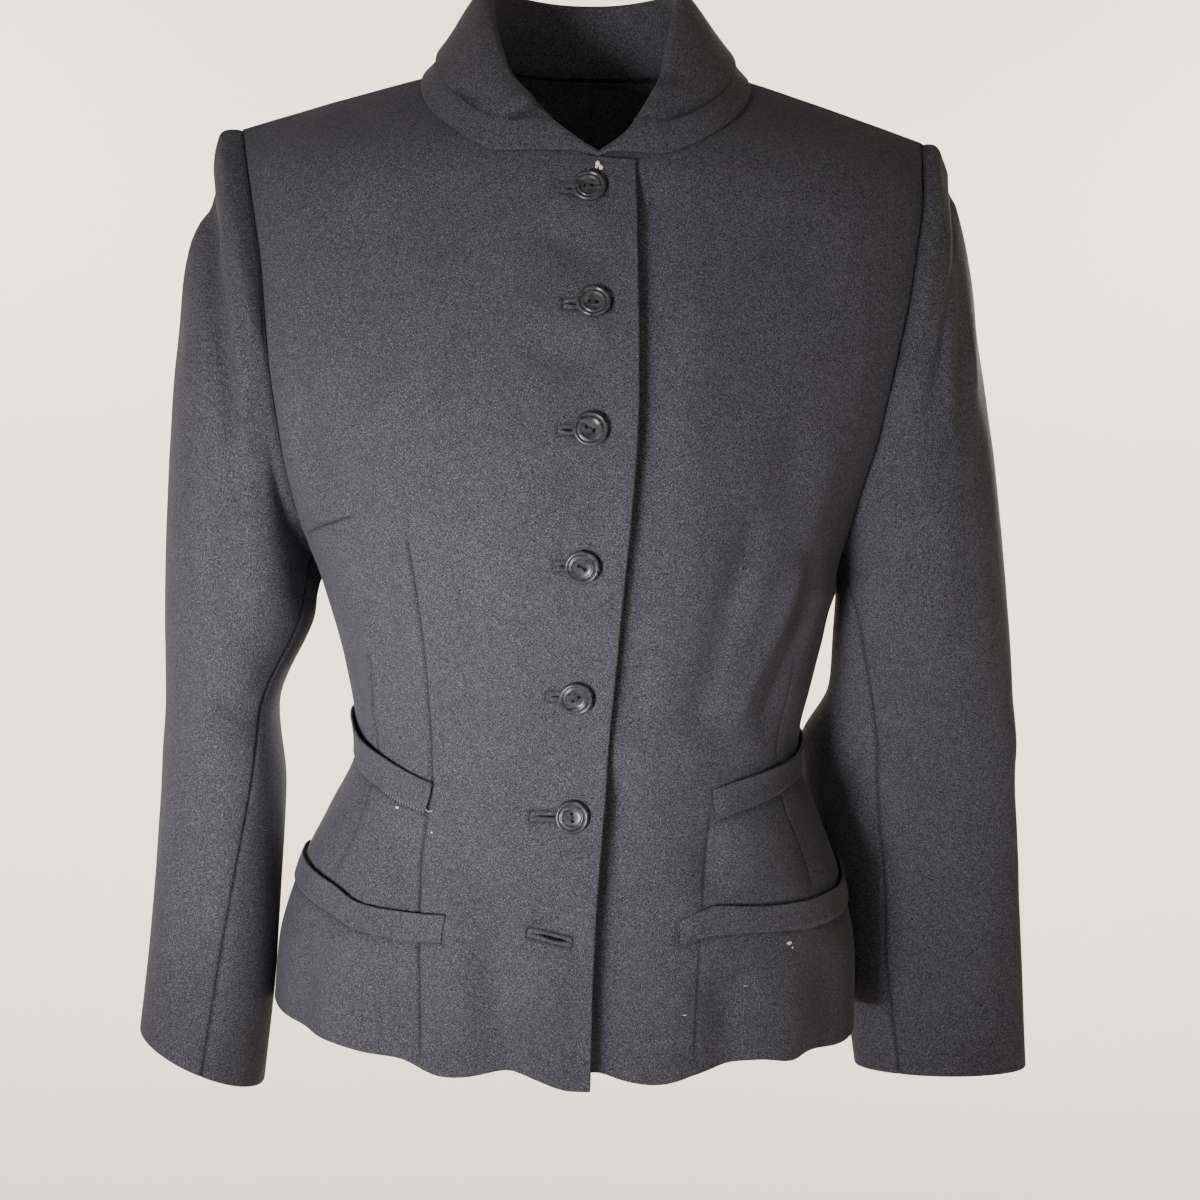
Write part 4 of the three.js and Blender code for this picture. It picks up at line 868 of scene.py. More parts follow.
# %% Sleeve rings
SLEEVE = {
    -1: table("z out fore half deep turn tip cut swing", [
        (-345, 214.5, 3, 44.5, 61, 20, 0, 0, -40), (-394, 223.8, 0, 34.6, 58, 18, 0.05, 0, -48),
        (-440, 222, -3, 38, 55, 18, 0.12, 0, -62), (-500, 224, -8, 38, 51, 18, 0.2, 0.02, -74),
        (-560, 227.3, -12, 38.3, 48, 18, 0.32, 0.06, -82), (-614, 232.5, -16, 38, 46, 18, 0.44, 0.14, -85)]),
    1: table("z out fore half deep turn tip cut swing", [
        (-345, 214, 14, 55, 52, 14, 0, 0, -42), (-380, 216, 20, 58, 43, 20, 0, 0, -55),
        (-420, 210, 28, 70, 33, 24, 0.01, 0, -71), (-460, 215.5, 37, 68.5, 30, 22, 0.02, 0, -68),
        (-510, 225, 38, 63, 30, 18, 0.03, 0, -62), (-560, 232, 34, 59, 30, 15, 0.04, 0.03, -54),
        (-629, 240.5, 30, 55, 29, 12, 0.06, 0.08, -52)]),
}
SEAM_TURN = {"front": 168, "back": 235}
SEAM_RISE = {"front": 305, "back": 350}
# How boldly the head leaves the armhole, and how far its padded roll stands out on the way.
HEAD_BOLD = {-1: 100, 1: 92}
HEAD_ROLL = {
    -1: table("gone out", [(0, 0), (9, 6), (17, 7.6), (30, 6), (45, 3.4), (58, 0), (70, -4.4),
                           (80, -4.2), (92, 0.4), (108, 3.7), (122, 4.2), (150, 2.5), (200, 1),
                           (300, 0)]),
    1: table("gone out", [(0, 0), (9, 4.2), (17, 4.6), (30, 3.2), (45, 2.2), (60, -1.4), (72, 0.4), (95, 0.5),
                          (120, -0.3), (150, -2.5), (200, -1.5), (300, 0)]),
}
HEAD_DOWN = 260
# The head starts this far beside the armhole, and its roll is measured along this many mm.
HEAD_CLEAR = 0.55
HEAD_RUN, HEAD_LEAST = 300, 0.08
LEAVE_FORE, LEAVE_UP, LEAVE_DOWN = 40, 10, 60
PROBE_DOWN = 20
HEAD_TURN_IN = 5
# Creases die out this near to a seam and to the head, in mm.
SEAM_CLEAR, HEAD_CREASE_CLEAR = 16, 10
# Creases of the sleeves: depth, width, 1 on the front or -1 on the back, then the path.
SLEEVE_CREASES = {
    -1: [
        (-2.6, 6, 1, [(-225, -90), (-224, -113), (-223, -133), (-217, -156), (-213, -178), (-207, -204)]),
        (1.6, 5, 1, [(-216, -84), (-215, -110), (-213, -131), (-207, -152), (-205, -175), (-200, -200)]),
        (-0.8, 2.4, 1, [(-211, -115), (-204, -112), (-197, -108)]),
        (-1.6, 3.4, 1, [(-184, -224), (-181, -240), (-177, -266), (-168, -305)]),
        (-1.1, 3, 1, [(-176, -258), (-171, -272), (-163, -288)]),
        (2.0, 12, 1, [(-238, -170), (-240, -240), (-236, -320)]),
        (-2.4, 11, 1, [(-208, -230), (-206, -290), (-204, -350)]),
        (-3.1, 8, 1, [(-186, -392), (-202, -390), (-220, -380)]),
        (2.0, 9, 1, [(-184, -372), (-202, -366), (-222, -352)]),
        (-1.7, 9, 1, [(-190, -420), (-208, -424), (-226, -420)]),
        (-2.0, 12, 1, [(-222, -440), (-226, -500), (-232, -560)]),
        (1.7, 12, 1, [(-240, -430), (-244, -500), (-250, -570)]),
        (-3.1, 9, -1, [(-188, -380), (-210, -372), (-236, -356)]),
        (2.4, 10, -1, [(-190, -404), (-214, -402), (-240, -390)]),
        (-2.5, 12, -1, [(-214, -180), (-206, -240), (-196, -300)]),
        (-2.0, 12, -1, [(-222, -430), (-228, -500), (-236, -570)]),
    ],
    1: [
        (-2.0, 6, 1, [(219, -96), (222, -141), (222, -190), (223, -236)]),
        (1.3, 4.5, 1, [(211, -80), (213, -119), (212, -159), (213, -200), (215, -241)]),
        (-1.3, 3.4, 1, [(182, -220), (178, -246), (170, -280)]),
        (-2.4, 12, 1, [(204, -260), (200, -320), (200, -380)]),
        (2.0, 13, 1, [(236, -210), (240, -300), (244, -380)]),
        (-2.0, 9, 1, [(178, -372), (196, -384), (216, -386)]),
        (1.5, 9, 1, [(180, -352), (198, -362), (220, -362)]),
        (-2.0, 12, 1, [(226, -420), (232, -500), (238, -590)]),
        (1.7, 12, 1, [(206, -420), (212, -500), (220, -590)]),
        (-3.1, 9, -1, [(190, -376), (214, -366), (240, -352)]),
        (2.2, 10, -1, [(192, -400), (218, -398), (246, -388)]),
        (-2.4, 12, -1, [(212, -180), (204, -250), (196, -310)]),
        (-1.9, 12, -1, [(226, -430), (234, -500), (242, -580)]),
    ],
}


def armhole_loop(hand):
    """Points round an armhole from the shoulder down the front and up the back, and their angles."""
    loop = []
    down, up = np.arange(TOP, UNDERARM - 1, -1), np.arange(UNDERARM + 1, TOP + 1)
    for part, rises, face in (("front", down, -1), ("back", up, 1)):
        reach = BODY[part]["reach"](rises) + np.where(rises > UNDERARM, armhole_cut[hand](rises), 0)
        z = BODY[part]["side"](rises)
        y = SIDE_Y + face * (SEAM / 2 + BODY[part]["lead"](rises))
        loop.append(np.stack([hand * reach + lean(z), y, z], 1))
    bottom = len(loop[0]) - 1
    line = np.concatenate(loop)
    run = run_of(line)
    angle = np.where(run <= run[bottom], 180 * run / run[bottom],
                     180 + 180 * (run - run[bottom]) / (run[-1] - run[bottom]))
    return line, angle, run[-1]


def sleeve_section(hand, rows, z, angle):
    weight = np.where(angle <= SEAM_TURN["front"], angle / SEAM_TURN["front"],
                      np.clip((SEAM_TURN["back"] - angle) / (SEAM_TURN["back"] - SEAM_TURN["front"]), 0, 1))
    a = np.radians(angle + rows["swing"](z) * weight)
    turn = math.radians(float(rows["turn"](z)))
    u = rows["half"](z) * np.cos(a)
    v = -rows["deep"](z) * np.sin(a)
    out = u * math.cos(turn) + v * math.sin(turn)
    fore = -u * math.sin(turn) + v * math.cos(turn)
    return np.stack([hand * (rows["out"](z) + out), rows["fore"](z) + fore,
                     z + rows["tip"](z) * out - rows["cut"](z) * fore], 1)


def sleeve_rings(hand, angle, head_shares, heights):
    """Rings of points at the given angles: the head's, then one for each height."""
    loop, loop_angle, _ = armhole_loop(hand)
    wrapped = angle % 360
    start = np.stack([np.interp(wrapped, loop_angle, loop[:, k]) for k in range(3)], 1)
    start[:, 0] += hand * HEAD_CLEAR
    rows = curves(SLEEVE[hand], "z")
    roll = curve(HEAD_ROLL[hand], "gone", "out")
    first = SLEEVE[hand]["z"].max()
    to = sleeve_section(hand, rows, first, wrapped)
    below = (sleeve_section(hand, rows, first - PROBE_DOWN, wrapped) - to) / PROBE_DOWN
    span = np.maximum(np.linalg.norm(start - to, axis=1) / HEAD_RUN, HEAD_LEAST)[:, None]
    up = np.cos(np.radians(wrapped))
    fore = -np.sin(np.radians(wrapped))
    top = np.maximum(up, 0)
    leave = np.stack([np.full_like(up, hand * HEAD_BOLD[hand]), fore * LEAVE_FORE,
                      LEAVE_UP - LEAVE_DOWN * top], 1) * span
    rings = []
    rounded = ease(-0.15, 0.5, up)[:, None]
    toward = unit(np.stack([hand * top, fore, 0.35 * top], 1)) * rounded
    for k in head_shares:
        bumped = toward * roll((k * span * HEAD_RUN)[:, 0])[:, None]
        rings.append(start * (2 * k**3 - 3 * k**2 + 1) + leave * (k**3 - 2 * k**2 + k)
                     + to * (3 * k**2 - 2 * k**3) + below * (k**3 - k**2) * HEAD_DOWN * span + bumped)
    rings += [sleeve_section(hand, rows, z, wrapped) for z in heights]
    return np.array(rings)


print("armholes round, mm:", {hand: round(float(armhole_loop(hand)[2])) for hand in (-1, 1)})

# %% Sleeves
HEAD_SHARES = np.concatenate([[0, 0.003, 0.007, 0.013, 0.021, 0.031], np.linspace(0.043, 0.3, 20),
                              np.linspace(0.32, 0.985, 34)])
ARM_SHARES = np.concatenate([np.linspace(0, 0.985, 66), [0.992, 0.997, 1]])
SLEEVE_STEP = 3.2


def build_sleeve(side, hand):
    _, loop_angle, around = armhole_loop(hand)
    bottom = TOP - UNDERARM
    front = loop_angle[TOP - SEAM_RISE["front"]]
    back = loop_angle[bottom + SEAM_RISE["back"] - UNDERARM]
    low = SLEEVE[hand]["z"].min()
    first = SLEEVE[hand]["z"].max()
    heights = first + (low - first) * ARM_SHARES
    pieces = {}
    for part, a, b in (("top", back - 360, front), ("under", front, back)):
        width = (b - a) / 360 * around
        angle = a + (b - a) * spaced([0.0, 1.0], width, SLEEVE_STEP)
        grid = sleeve_rings(hand, angle, HEAD_SHARES, heights)
        smooth_normals = facing(grid, hand)
        across = np.array([run_of(line) for line in grid])
        down = np.array([run_of(line) for line in grid.transpose(1, 0, 2)]).T
        from_seam = np.minimum(across, across[:, -1:] - across)
        edge = ease(0, SEAM_CLEAR, from_seam) * ease(0, HEAD_CREASE_CLEAR, down)
        smooth = grid
        for front_side in (1, -1):
            rows = [row[:2] + (row[3],) for row in SLEEVE_CREASES[hand] if row[2] == front_side]
            facing_side = ease(-0.05, 0.35, -smooth_normals[..., 1] * front_side)
            smooth = creased(smooth, smooth_normals, rows, edge * facing_side)
        normals = facing(smooth, hand)
        dip = groove(from_seam, *SLEEVE_SEAM_DIP) + groove(down, *HEAD_DIP)
        outer = smooth - normals * dip[..., None]
        outer = hand_pressed(outer, smooth, normals, *UNEVEN, hand + 3)
        inward = normals.copy()
        flatten(inward, 0, 1 - ease(0, HEAD_TURN_IN, down))
        inner = smooth - unit(inward) * CLOTH
        bulge = np.full(dip.shape, SEAM_FULL)
        bulge[0] = HEAD_FULL
        bulge[-1] = HEM_FULL
        places = np.stack([across + CUT_FROM["sleeve under"] * (part == "under"), -down], -1)
        # Painted shade darkens the sleeve's seams and head with their dips, where the nap also lies flat.
        pieces[part] = wall(f"cloth_sleeve_{side}_{part}", outer, inner, places, bulge=bulge,
                            nap_and_shade=np.clip(dip / DIP_DARKEST, 0, 1))
    return pieces


for side, hand in (("right", -1), ("left", 1)):
    for part, piece in build_sleeve(side, hand).items():
        cloth[f"sleeve_{side}_{part}"] = piece
        print(piece.name, "faces:", len(piece.data.polygons))

# %% [markdown]
# ## Collar
# The collar is a folded layer that stands inside the neck, rolls over and falls to its edge. A
# plain band is sewn under that edge, shows below it all round and runs on alone to the front.
# Both are drawn in upright planes round the neck, so roll, fall and edge are one smooth sweep.

# %% Collar sections
# Round the neck from the front, turn 0, to the back, turn 180: how far out the roll and the edge
# stand, how high the crest is and how low the edge may hang, how full the fall is, and how far
# the top and the foot lean sideways.
COLLAR = curves(table("turn roll crest edge least bulge top foot", [
    (0, 78, -68.2, 79, -70.3, 0.3, 5, 5), (10, 79, -59, 82.5, -71.5, 0.6, 4, 0),
    (20, 77, -46, 85, -90, 0.8, 1, -3), (28, 76, -33, 88.3, -90, 0.8, -1, -5),
    (36, 73, -22, 92, -90, 0.6, -3, -5), (46, 68, -3, 95.8, -90, -0.5, -5, -4),
    (62, 62.5, 24, 98.7, -90, -2, -6, -4), (75, 59.5, 36, 99, -90, -2.4, -6, -4),
    (90, 57, 42, 98, -90, -2.4, -6, -4), (120, 56, 45, 91, -90, -1, -6, -4),
    (150, 55, 46, 80, -90, 1, -6, -4), (180, 54.5, 46, 76, -90, 1.5, -6, -4)]), "turn")
NECK_Y = -5
LEAF_ENDS = 17.5
BAND_SHOWS, BAND_UNDER, BAND, LEAF = 17.5, 6, 2.0, 2.2
COLLAR_LAY = 0.8
ROLL_RADIUS, ROLL_RADIUS_AT_FRONT = 2.8, 1.2
# The panels are looked at above this rise, at every so many columns, from a height above all.
SHOULDER_RISE, COLUMN_STEP, OVERHEAD = 360, 8, 200
STEEPEST, PROBE = 1.8, 1.5


def roll_radius(turn):
    """The roll is tight at the front, where the leaf runs out, and fuller round the neck."""
    return mix(ROLL_RADIUS_AT_FRONT, ROLL_RADIUS, float(ease(LEAF_ENDS, LEAF_ENDS + 10, turn)))


def body_tree():
    """Every panel's shoulder and neck, to find what lies under the collar."""
    verts, faces = [], []
    for name in PANELS:
        grid = skins[name][SHOULDER_RISE:, ::COLUMN_STEP]
        rows, cols = grid.shape[:2]
        at = len(verts) + np.arange(rows * cols).reshape(rows, cols)
        verts += [Vector(p) for p in grid.reshape(-1, 3)]
        faces += np.stack([at[:-1, :-1], at[:-1, 1:], at[1:, 1:], at[1:, :-1]], -1).reshape(-1, 4).tolist()
    return BVHTree.FromPolygons(verts, faces)


under_collar = body_tree()


def body_top(x, y, again=True):
    hit = under_collar.ray_cast(Vector((x, y, OVERHEAD)), Vector((0, 0, -1)))[0]
    if hit is not None:
        return hit.z
    if not again:
        return -FAR
    return max(body_top(x + a, y + b, False) for a, b in ((-1, 0), (1, 0), (0, -1), (0, 1)))


NECK_RISES = {"front": (521, 543, 560, 575, 590, 605), "back": (560, 575, 590, 605)}


def neckline():
    points = [panel_row(part, 1, rise)[0] for part, rises in NECK_RISES.items() for rise in rises]
    rows = sorted((math.degrees(math.atan2(p[0], NECK_Y - p[1])), math.hypot(p[0], p[1] - NECK_Y), p[2])
                  for p in points)
    return curves(table("turn reach z", rows), "turn")


NECK = neckline()


def neck_point(turn, side, reach, z):
    """A point of the collar in the upright plane at a turn round the neck."""
    a = math.radians(turn)
    low, high = float(NECK["z"](turn)), float(COLLAR["crest"](turn))
    shift = mix(float(COLLAR["foot"](turn)), float(COLLAR["top"](turn)), float(ease(low, high, z)))
    return np.array([side * reach * math.sin(a) + shift, NECK_Y - reach * math.cos(a), z])


def fall_line(turn, count=12):
    """The fall's outer face from the roll to the edge, as reach and height, kept off the body."""
    start = np.array([float(COLLAR["roll"](turn)) + roll_radius(turn), float(COLLAR["crest"](turn))])
    edge = float(COLLAR["edge"](turn))

    def over(reach):
        spots = [neck_point(turn, hand, reach, float(NECK["z"](turn))) for hand in (-1, 1)]
        return max(body_top(p[0], p[1]) for p in spots)

    def clear(reach):
        nearer = over(reach - PROBE)
        slope = (over(reach + PROBE) - nearer) / (2 * PROBE) if nearer > -FAR else 0
        return over(reach) + (BAND + COLLAR_LAY) * math.hypot(1, max(slope, -STEEPEST))
    end = np.array([edge, max(clear(edge), float(COLLAR["least"](turn)))])
    way = end - start
    bulge = float(COLLAR["bulge"](turn)) * 2 / np.hypot(*way)
    bend = (start + end) / 2 + np.array([-way[1], way[0]]) * bulge
    line = []
    for k in np.linspace(0, 1, count + 1):
        at = (1 - k) ** 2 * start + 2 * k * (1 - k) * bend + k * k * end
        if turn > LEAF_ENDS and at[0] > float(NECK["reach"](turn)) - 1:
            at[1] = max(at[1], clear(at[0]))
        line.append(at)
    return np.array(line)


def dense_line(line, step=0.5):
    run = run_of(line)
    want = np.linspace(0, run[-1], max(8, int(run[-1] / step)))
    fine = np.stack([np.interp(want, run, line[:, k]) for k in range(2)], 1)
    for _ in range(12):
        fine[1:-1] = (fine[:-2] + 2 * fine[1:-1] + fine[2:]) / 4
    return fine


def from_end(line, back):
    """Points `back` mm before the end of a line, and the direction out of its face there."""
    run = run_of(line)
    at = run[-1] - np.asarray(back, float)
    point = np.stack([np.interp(at, run, line[:, k]) for k in range(2)], 1)
    slope = np.gradient(line, axis=0)
    tangent = unit(np.stack([np.interp(at, run, slope[:, k]) for k in range(2)], 1))
    return point, np.stack([-tangent[:, 1], tangent[:, 0]], 1)


FRONT_STATIONS = 33
TURNS = np.concatenate([[0.4, 1.0], np.linspace(1.9, LEAF_ENDS, 16), np.linspace(LEAF_ENDS + 0.8, 30, 15),
                        np.linspace(30, 180, 84)[1:]])
smoothed = np.array([fall_line(turn) for turn in TURNS])
for passes, last in ((3, len(TURNS)), (14, FRONT_STATIONS)):
    for _ in range(passes):
        smoothed[1:last - 1] = (smoothed[:last - 2] + 2 * smoothed[1:last - 1] + smoothed[2:last]) / 4
FALLS = {turn: dense_line(line) for turn, line in zip(TURNS, smoothed)}
print("lines of the fall:", len(FALLS))


# %% Band and leaf
BAND_SHARES = np.array([0, 0.035, 0.08, 0.14, 0.24, 0.36, 0.48, 0.6, 0.72, 0.84, 0.93, 1])
FALL_SHARES = np.array([0.8, 0.66, 0.52, 0.4, 0.28, 0.18, 0.1, 0.045, 0.018, 0])


def band_row(turn, side):
    line = FALLS[turn]
    whole = run_of(line)[-1]
    under = min(whole - 4, BAND_SHOWS + BAND_UNDER)
    wide = mix(whole - 0.3, under, float(ease(LEAF_ENDS - 0.4, LEAF_ENDS + 2.5, turn)))
    back = wide * BAND_SHARES
    point, out = from_end(line, back)
    faces = []
    for offset in (0, -BAND):
        faces.append([neck_point(turn, side, *p) for p in point + out * offset])
    return faces, back


def leaf_path(turn):
    roll, crest = float(COLLAR["roll"](turn)), float(COLLAR["crest"](turn))
    foot = np.array([float(NECK["reach"](turn)) - 1.6, float(NECK["z"](turn)) + 2.5])
    radius = roll_radius(turn)
    top = crest - radius
    path = [foot + (np.array([roll - radius, top]) - foot) * k for k in np.linspace(0, 0.9, 9)]
    for a in np.radians(np.linspace(180, 8, 9)):
        path.append(np.array([roll + radius * math.cos(a), top + radius * math.sin(a)]))
    line = FALLS[turn]
    falls = max(run_of(line)[-1] - BAND_SHOWS, 1.2)
    back = BAND_SHOWS + falls * FALL_SHARES
    point, out = from_end(line, back)
    path += list(point + out * (COLLAR_LAY + LEAF / 2))
    path = np.array(path)
    for _ in range(2):
        path[1:-1] = (path[:-2] + 2 * path[1:-1] + path[2:]) / 4
    return path


def leaf_row(turn, side):
    path = leaf_path(turn)
    tangent = unit(np.gradient(path, axis=0))
    out = np.stack([-tangent[:, 1], tangent[:, 0]], 1)
    faces = []
    for offset in (LEAF / 2, -LEAF / 2):
        faces.append([neck_point(turn, side, *p) for p in path + out * offset])
    return faces, run_of(path)


# Creases of the collar: depth, width and path, seen from the front.
COLLAR_CREASES = {
    "collar": [
        (-2.2, 2.6, [(-24, -43), (-36, -45), (-50, -53)]),
        (1.7, 3.4, [(-26, -36), (-40, -40), (-54, -47)]),
        (-2.2, 5, [(-80, -28), (-71, -38), (-60, -46)]),
        (1.2, 5, [(-84, -14), (-72, -26), (-60, -34)]),
        (-1.8, 3, [(33, -28), (41, -26), (54, -23)]),
        (1.6, 5, [(34, -36), (46, -34), (62, -30)]),
        (-1.8, 7, [(74, -20), (78, -30), (76, -42)]),
        (-1.4, 5, [(40, -46), (54, -44), (68, -38)]),
    ],
    "collar_band": [],
}
# A crease this deep gets the darkest painted shade, and a faint line of painted shade runs along the far edge
# of each piece: the leaf's outer edge and the band's inner edge.
SUNK_DARKEST = 2.6
COLLAR_EDGE_SHADE = (0.55, 1.1)
COLLAR_FULL = 0.7


def build_collar(name, row_of, turns):
    stations = [(t, -1) for t in turns] + [(t, 1) for t in turns[:-1][::-1]]
    rows = [row_of(turn, side) for turn, side in stations]
    outer = np.array([faces[0] for faces, _ in rows])
    inner = np.array([faces[1] for faces, _ in rows])
    down = np.array([run for _, run in rows])
    along = np.array([run_of(line) for line in outer.transpose(1, 0, 2)]).T
    normals = unit(outer - inner)
    front = ease(-0.2, 0.2, -normals[..., 1])
    moved = creased(outer, normals, COLLAR_CREASES[name], front)
    sunk = -np.sum((moved - outer) * normals, -1)
    # Painted shade: darkest in the deep creases, with a faint line along the leaf's outer edge and the band's
    # inner edge.
    nap_and_shade = np.clip(sunk / SUNK_DARKEST, 0, 0.7) + groove(down[:, -1:] - down, *COLLAR_EDGE_SHADE)
    inner = inner + (moved - outer)
    outer = hand_pressed(moved, outer, normals, *COLLAR_UNEVEN, 9)
    bulge = np.full(down.shape, COLLAR_FULL)
    return wall(f"cloth_{name}", outer, inner, np.stack([along, -down], -1), bulge=bulge, nap_and_shade=nap_and_shade)


cloth["collar_band"] = build_collar("collar_band", band_row, list(TURNS))
cloth["collar"] = build_collar("collar", leaf_row, [t for t in TURNS if t >= LEAF_ENDS])
print("collar stations:", 2 * len(TURNS) - 1)

# %% [markdown]
# ## Welts
# Two folded strips on each front suggest pockets: one at the waist and a longer one at the hip.
# Only the lower edge is sewn down, so the upper edge gapes off the cloth and casts a dark line.
# Each is built from the panel's own points moved out, so it hugs every fold beneath it.

# %% Welts
# A welt's thickness, how far it lies off the cloth, and how far its foot is sewn in. All in mm.
WELT = 1.8
LAY, SEWN_IN = 0.4, 0.8
WELT_STEP, WELT_NEAR = 2.6, (0.6, 1.3, 2.2)
WELT_ROW = 150
# A welt is this share of its thickness at its inner and outer end, and full within so many mm.
THIN_INNER, THIN_OUTER = (0.45, 5), (0.6, 8)
WELT_FULL, WELT_FOOT_FULL, WELT_SIDE_FULL = 0.6, 0.2, 0.1
ACROSS = np.array([0, 0.05, 0.11, 0.2, 0.35, 0.5, 0.65, 0.8, 0.89, 0.95, 1])


def grown(thin, full_at, run):
    return mix(thin, 1, ease(0, full_at, run))


def build_welt(name):
    panel, rows = WELTS[name]
    at = curves(rows, "share")
    length = row_length(panel, WELT_ROW)
    first, last = rows["share"][0], rows["share"][-1]
    share = spaced([first, last], length, WELT_STEP, near=WELT_NEAR)
    k = ACROSS[None, :]
    rise = mix(at["low"](share)[:, None], at["high"](share)[:, None], k)
    lift = mix(-SEWN_IN, LAY, ease(0, 0.12, k)) + at["gape"](share)[:, None] * k * k
    where = np.repeat(share[:, None], len(ACROSS), 1)
    thick = WELT * grown(*THIN_INNER, (share - first) * length)
    thick = thick * grown(*THIN_OUTER, (last - share) * length)
    outer, normals = on_skin(panel, rise, where, lift + thick[:, None])
    inner, _ = on_skin(panel, rise, where, lift)
    dip = groove(k * 16, 0.5, 1.2) * np.ones_like(rise)
    outer = outer - normals * dip[..., None]
    outer = hand_pressed(outer, outer, normals, *WELT_UNEVEN, 5)
    bulge = np.full(rise.shape, WELT_FULL)
    bulge[:, 0] = WELT_FOOT_FULL
    bulge[-1] = WELT_SIDE_FULL
    places = np.stack([where * length, rise + CUT_FROM["welt"]], -1)
    return wall(f"cloth_{name}", outer, inner, places, bulge=bulge)


for name in WELTS:
    cloth[name] = build_welt(name)
print("welts:", len(WELTS))

# %% [markdown]
# ## Bound buttonholes
# A bound buttonhole is a small window in the front, filled by two rolled lips of the same cloth
# that meet along the slit. Each lip here is a plump closed strip from the window's edge to the
# slit, and the slit opens beside the button's stem. The lowest one has no button and gapes.

# %% Buttonhole lips
LAPPED = "front_right"
LIP = 2.4
FRAME_CLEAR, TALL_CLEAR = 0.3, 0.15
PLUMP, PLUMP_SUNK = 0.75, 0.35
# The slit opens within this share of its length at one end and closes from that one on.
OPEN_BY, CLOSE_FROM = 0.13, 0.8
LIP_END_FULL, LIP_SLIT_FULL = 0.1, 0.5


def closure_frame(closure):
    """A closure's directions along the slit, up and out of the cloth."""
    rise, fall = closure["rise"], closure["fall"]
    first, last = closure["slit"], closure["slit"] + closure["long"]
    ends = []
    for x, at in ((first, rise + fall / 2), (last, rise - fall / 2)):
        ends.append(on_skin(LAPPED, at, share_at(LAPPED, at, x))[0])
    middle = (ends[0] + ends[1]) / 2
    along = unit(ends[1] - ends[0])
    high, low = (on_skin(LAPPED, r, share_at(LAPPED, r, middle[0]))[0] for r in (rise + 5, rise - 5))
    out = unit(np.cross(along, unit(high - low)))
    return along, np.cross(out, along), out


def lip_grid(closure, upper):
    """Outer and inner points of one lip, from the slit to the frame's edge."""
    long = closure["long"] + 2 * LIP_END - FRAME_CLEAR
    along = np.linspace(0, 1, 26)
    inside = np.clip((along * long - LIP_END) / closure["long"], 0, 1)
    opens = ease(0, OPEN_BY, inside) * (1 - ease(CLOSE_FROM, 1, inside))
    if closure["fall"]:
        opens = np.sin(math.pi * inside ** 1.4)
    opening = closure["gape"] / 2 * opens
    across = np.array([0, 0.12, 0.3, 0.5, 0.7, 0.88, 1])
    v = mix(opening[:, None] * 0.75 + 0.12, LIP_TALL / 2 - TALL_CLEAR, across[None, :])
    plump = PLUMP * np.sin(math.pi * np.clip(across * 0.9 + 0.12, 0, 1)) - PLUMP_SUNK
    u = (along * long - long / 2)[:, None] * np.ones_like(v)
    sign = 1 if upper else -1
    rise = closure["rise"] + sign * v - closure["fall"] * u / long
    middle = closure["slit"] + closure["long"] / 2
    share = np.array([[share_at(LAPPED, row[0], middle + d)] * len(across)
                      for row, d in zip(rise, u[:, 0])])
    ends = 1 - 0.5 * (1 - ease(0, 1.2, np.minimum(along, 1 - along) * long))
    outer, _ = on_skin(LAPPED, rise, share, plump[None, :] * ends[:, None])
    inner, _ = on_skin(LAPPED, rise, share, -LIP)
    return outer, inner, np.stack([u + CUT_FROM["lip"], rise], -1)


def build_buttonhole(n, closure):
    halves = []
    for upper in (True, False):
        outer, inner, places = lip_grid(closure, upper)
        bulge = np.full(outer.shape[:2], LIP_END_FULL)
        bulge[:, 0] = LIP_SLIT_FULL
        halves.append(wall(f"lip_{n}_{upper}", outer, inner, places, bulge=bulge))
    return joined(f"cloth_buttonhole_{n}", halves)


def joined(name, parts):
    """One object from several separate closed meshes."""
    work = bmesh.new()
    for part in parts:
        work.from_mesh(part.data)
        bpy.data.objects.remove(part)
    mesh = bpy.data.meshes.new(name)
    work.to_mesh(mesh)
    work.free()
    return added(name, mesh)


for n, closure in enumerate(closures(), 1):
    cloth[f"buttonhole_{n}"] = build_buttonhole(n, closure)
print("buttonholes:", len(closures()))

# %% [markdown]
# ## Buttons
# Each button is turned from horn: a raised rim, a groove, an inner ring and a dished middle with
# two holes. The profile is spun round its axis, the holes are drilled with a boolean cut, and
# two strands of thread cross between them and run down as the stem.

# %% Turning and drilling
def circle(radius, height, sides):
    """Points of one level circle."""
    turns = np.linspace(0, 2 * math.pi, sides, endpoint=False)
    return [(radius * math.cos(a), radius * math.sin(a), height) for a in turns]


def closed_faces(rings, sides):
    """Faces of a closed tube whose points are one end, its rings in turn and the other end."""
    faces = [(0, 1 + (k + 1) % sides, 1 + k) for k in range(sides)]
    for ring in range(rings):
        a = 1 + ring * sides
        for k in range(sides):
            after = (k + 1) % sides
            if ring < rings - 1:
                faces.append((a + k, a + after, a + sides + after, a + sides + k))
            else:
                faces.append((a + k, a + after, a + sides))
    return faces


def spun(profile, sides):
    """A closed turned shape from radius and height pairs, the first and last on the axis."""
    verts = [(0, 0, profile[0][1])]
    for r, h in profile[1:-1]:
        verts += circle(r, h, sides)
    verts.append((0, 0, profile[-1][1]))
    return np.array(verts, float), closed_faces(len(profile) - 2, sides)


def tube(points, radius, sides=8):
    """A round strand through a few points, closed at both ends."""
    points = np.array(points, float)
    tangent = unit(np.gradient(points, axis=0))
    side = unit(np.cross(tangent, np.array([0.31, 0.77, 0.55])))
    other = np.cross(tangent, side)
    turns = np.linspace(0, 2 * math.pi, sides, endpoint=False)
    verts = [points[0]]
    for p, s, o in zip(points, side, other):
        verts += [p + radius * (s * math.cos(a) + o * math.sin(a)) for a in turns]
    verts.append(points[-1])
    return np.array(verts), closed_faces(len(points), sides)


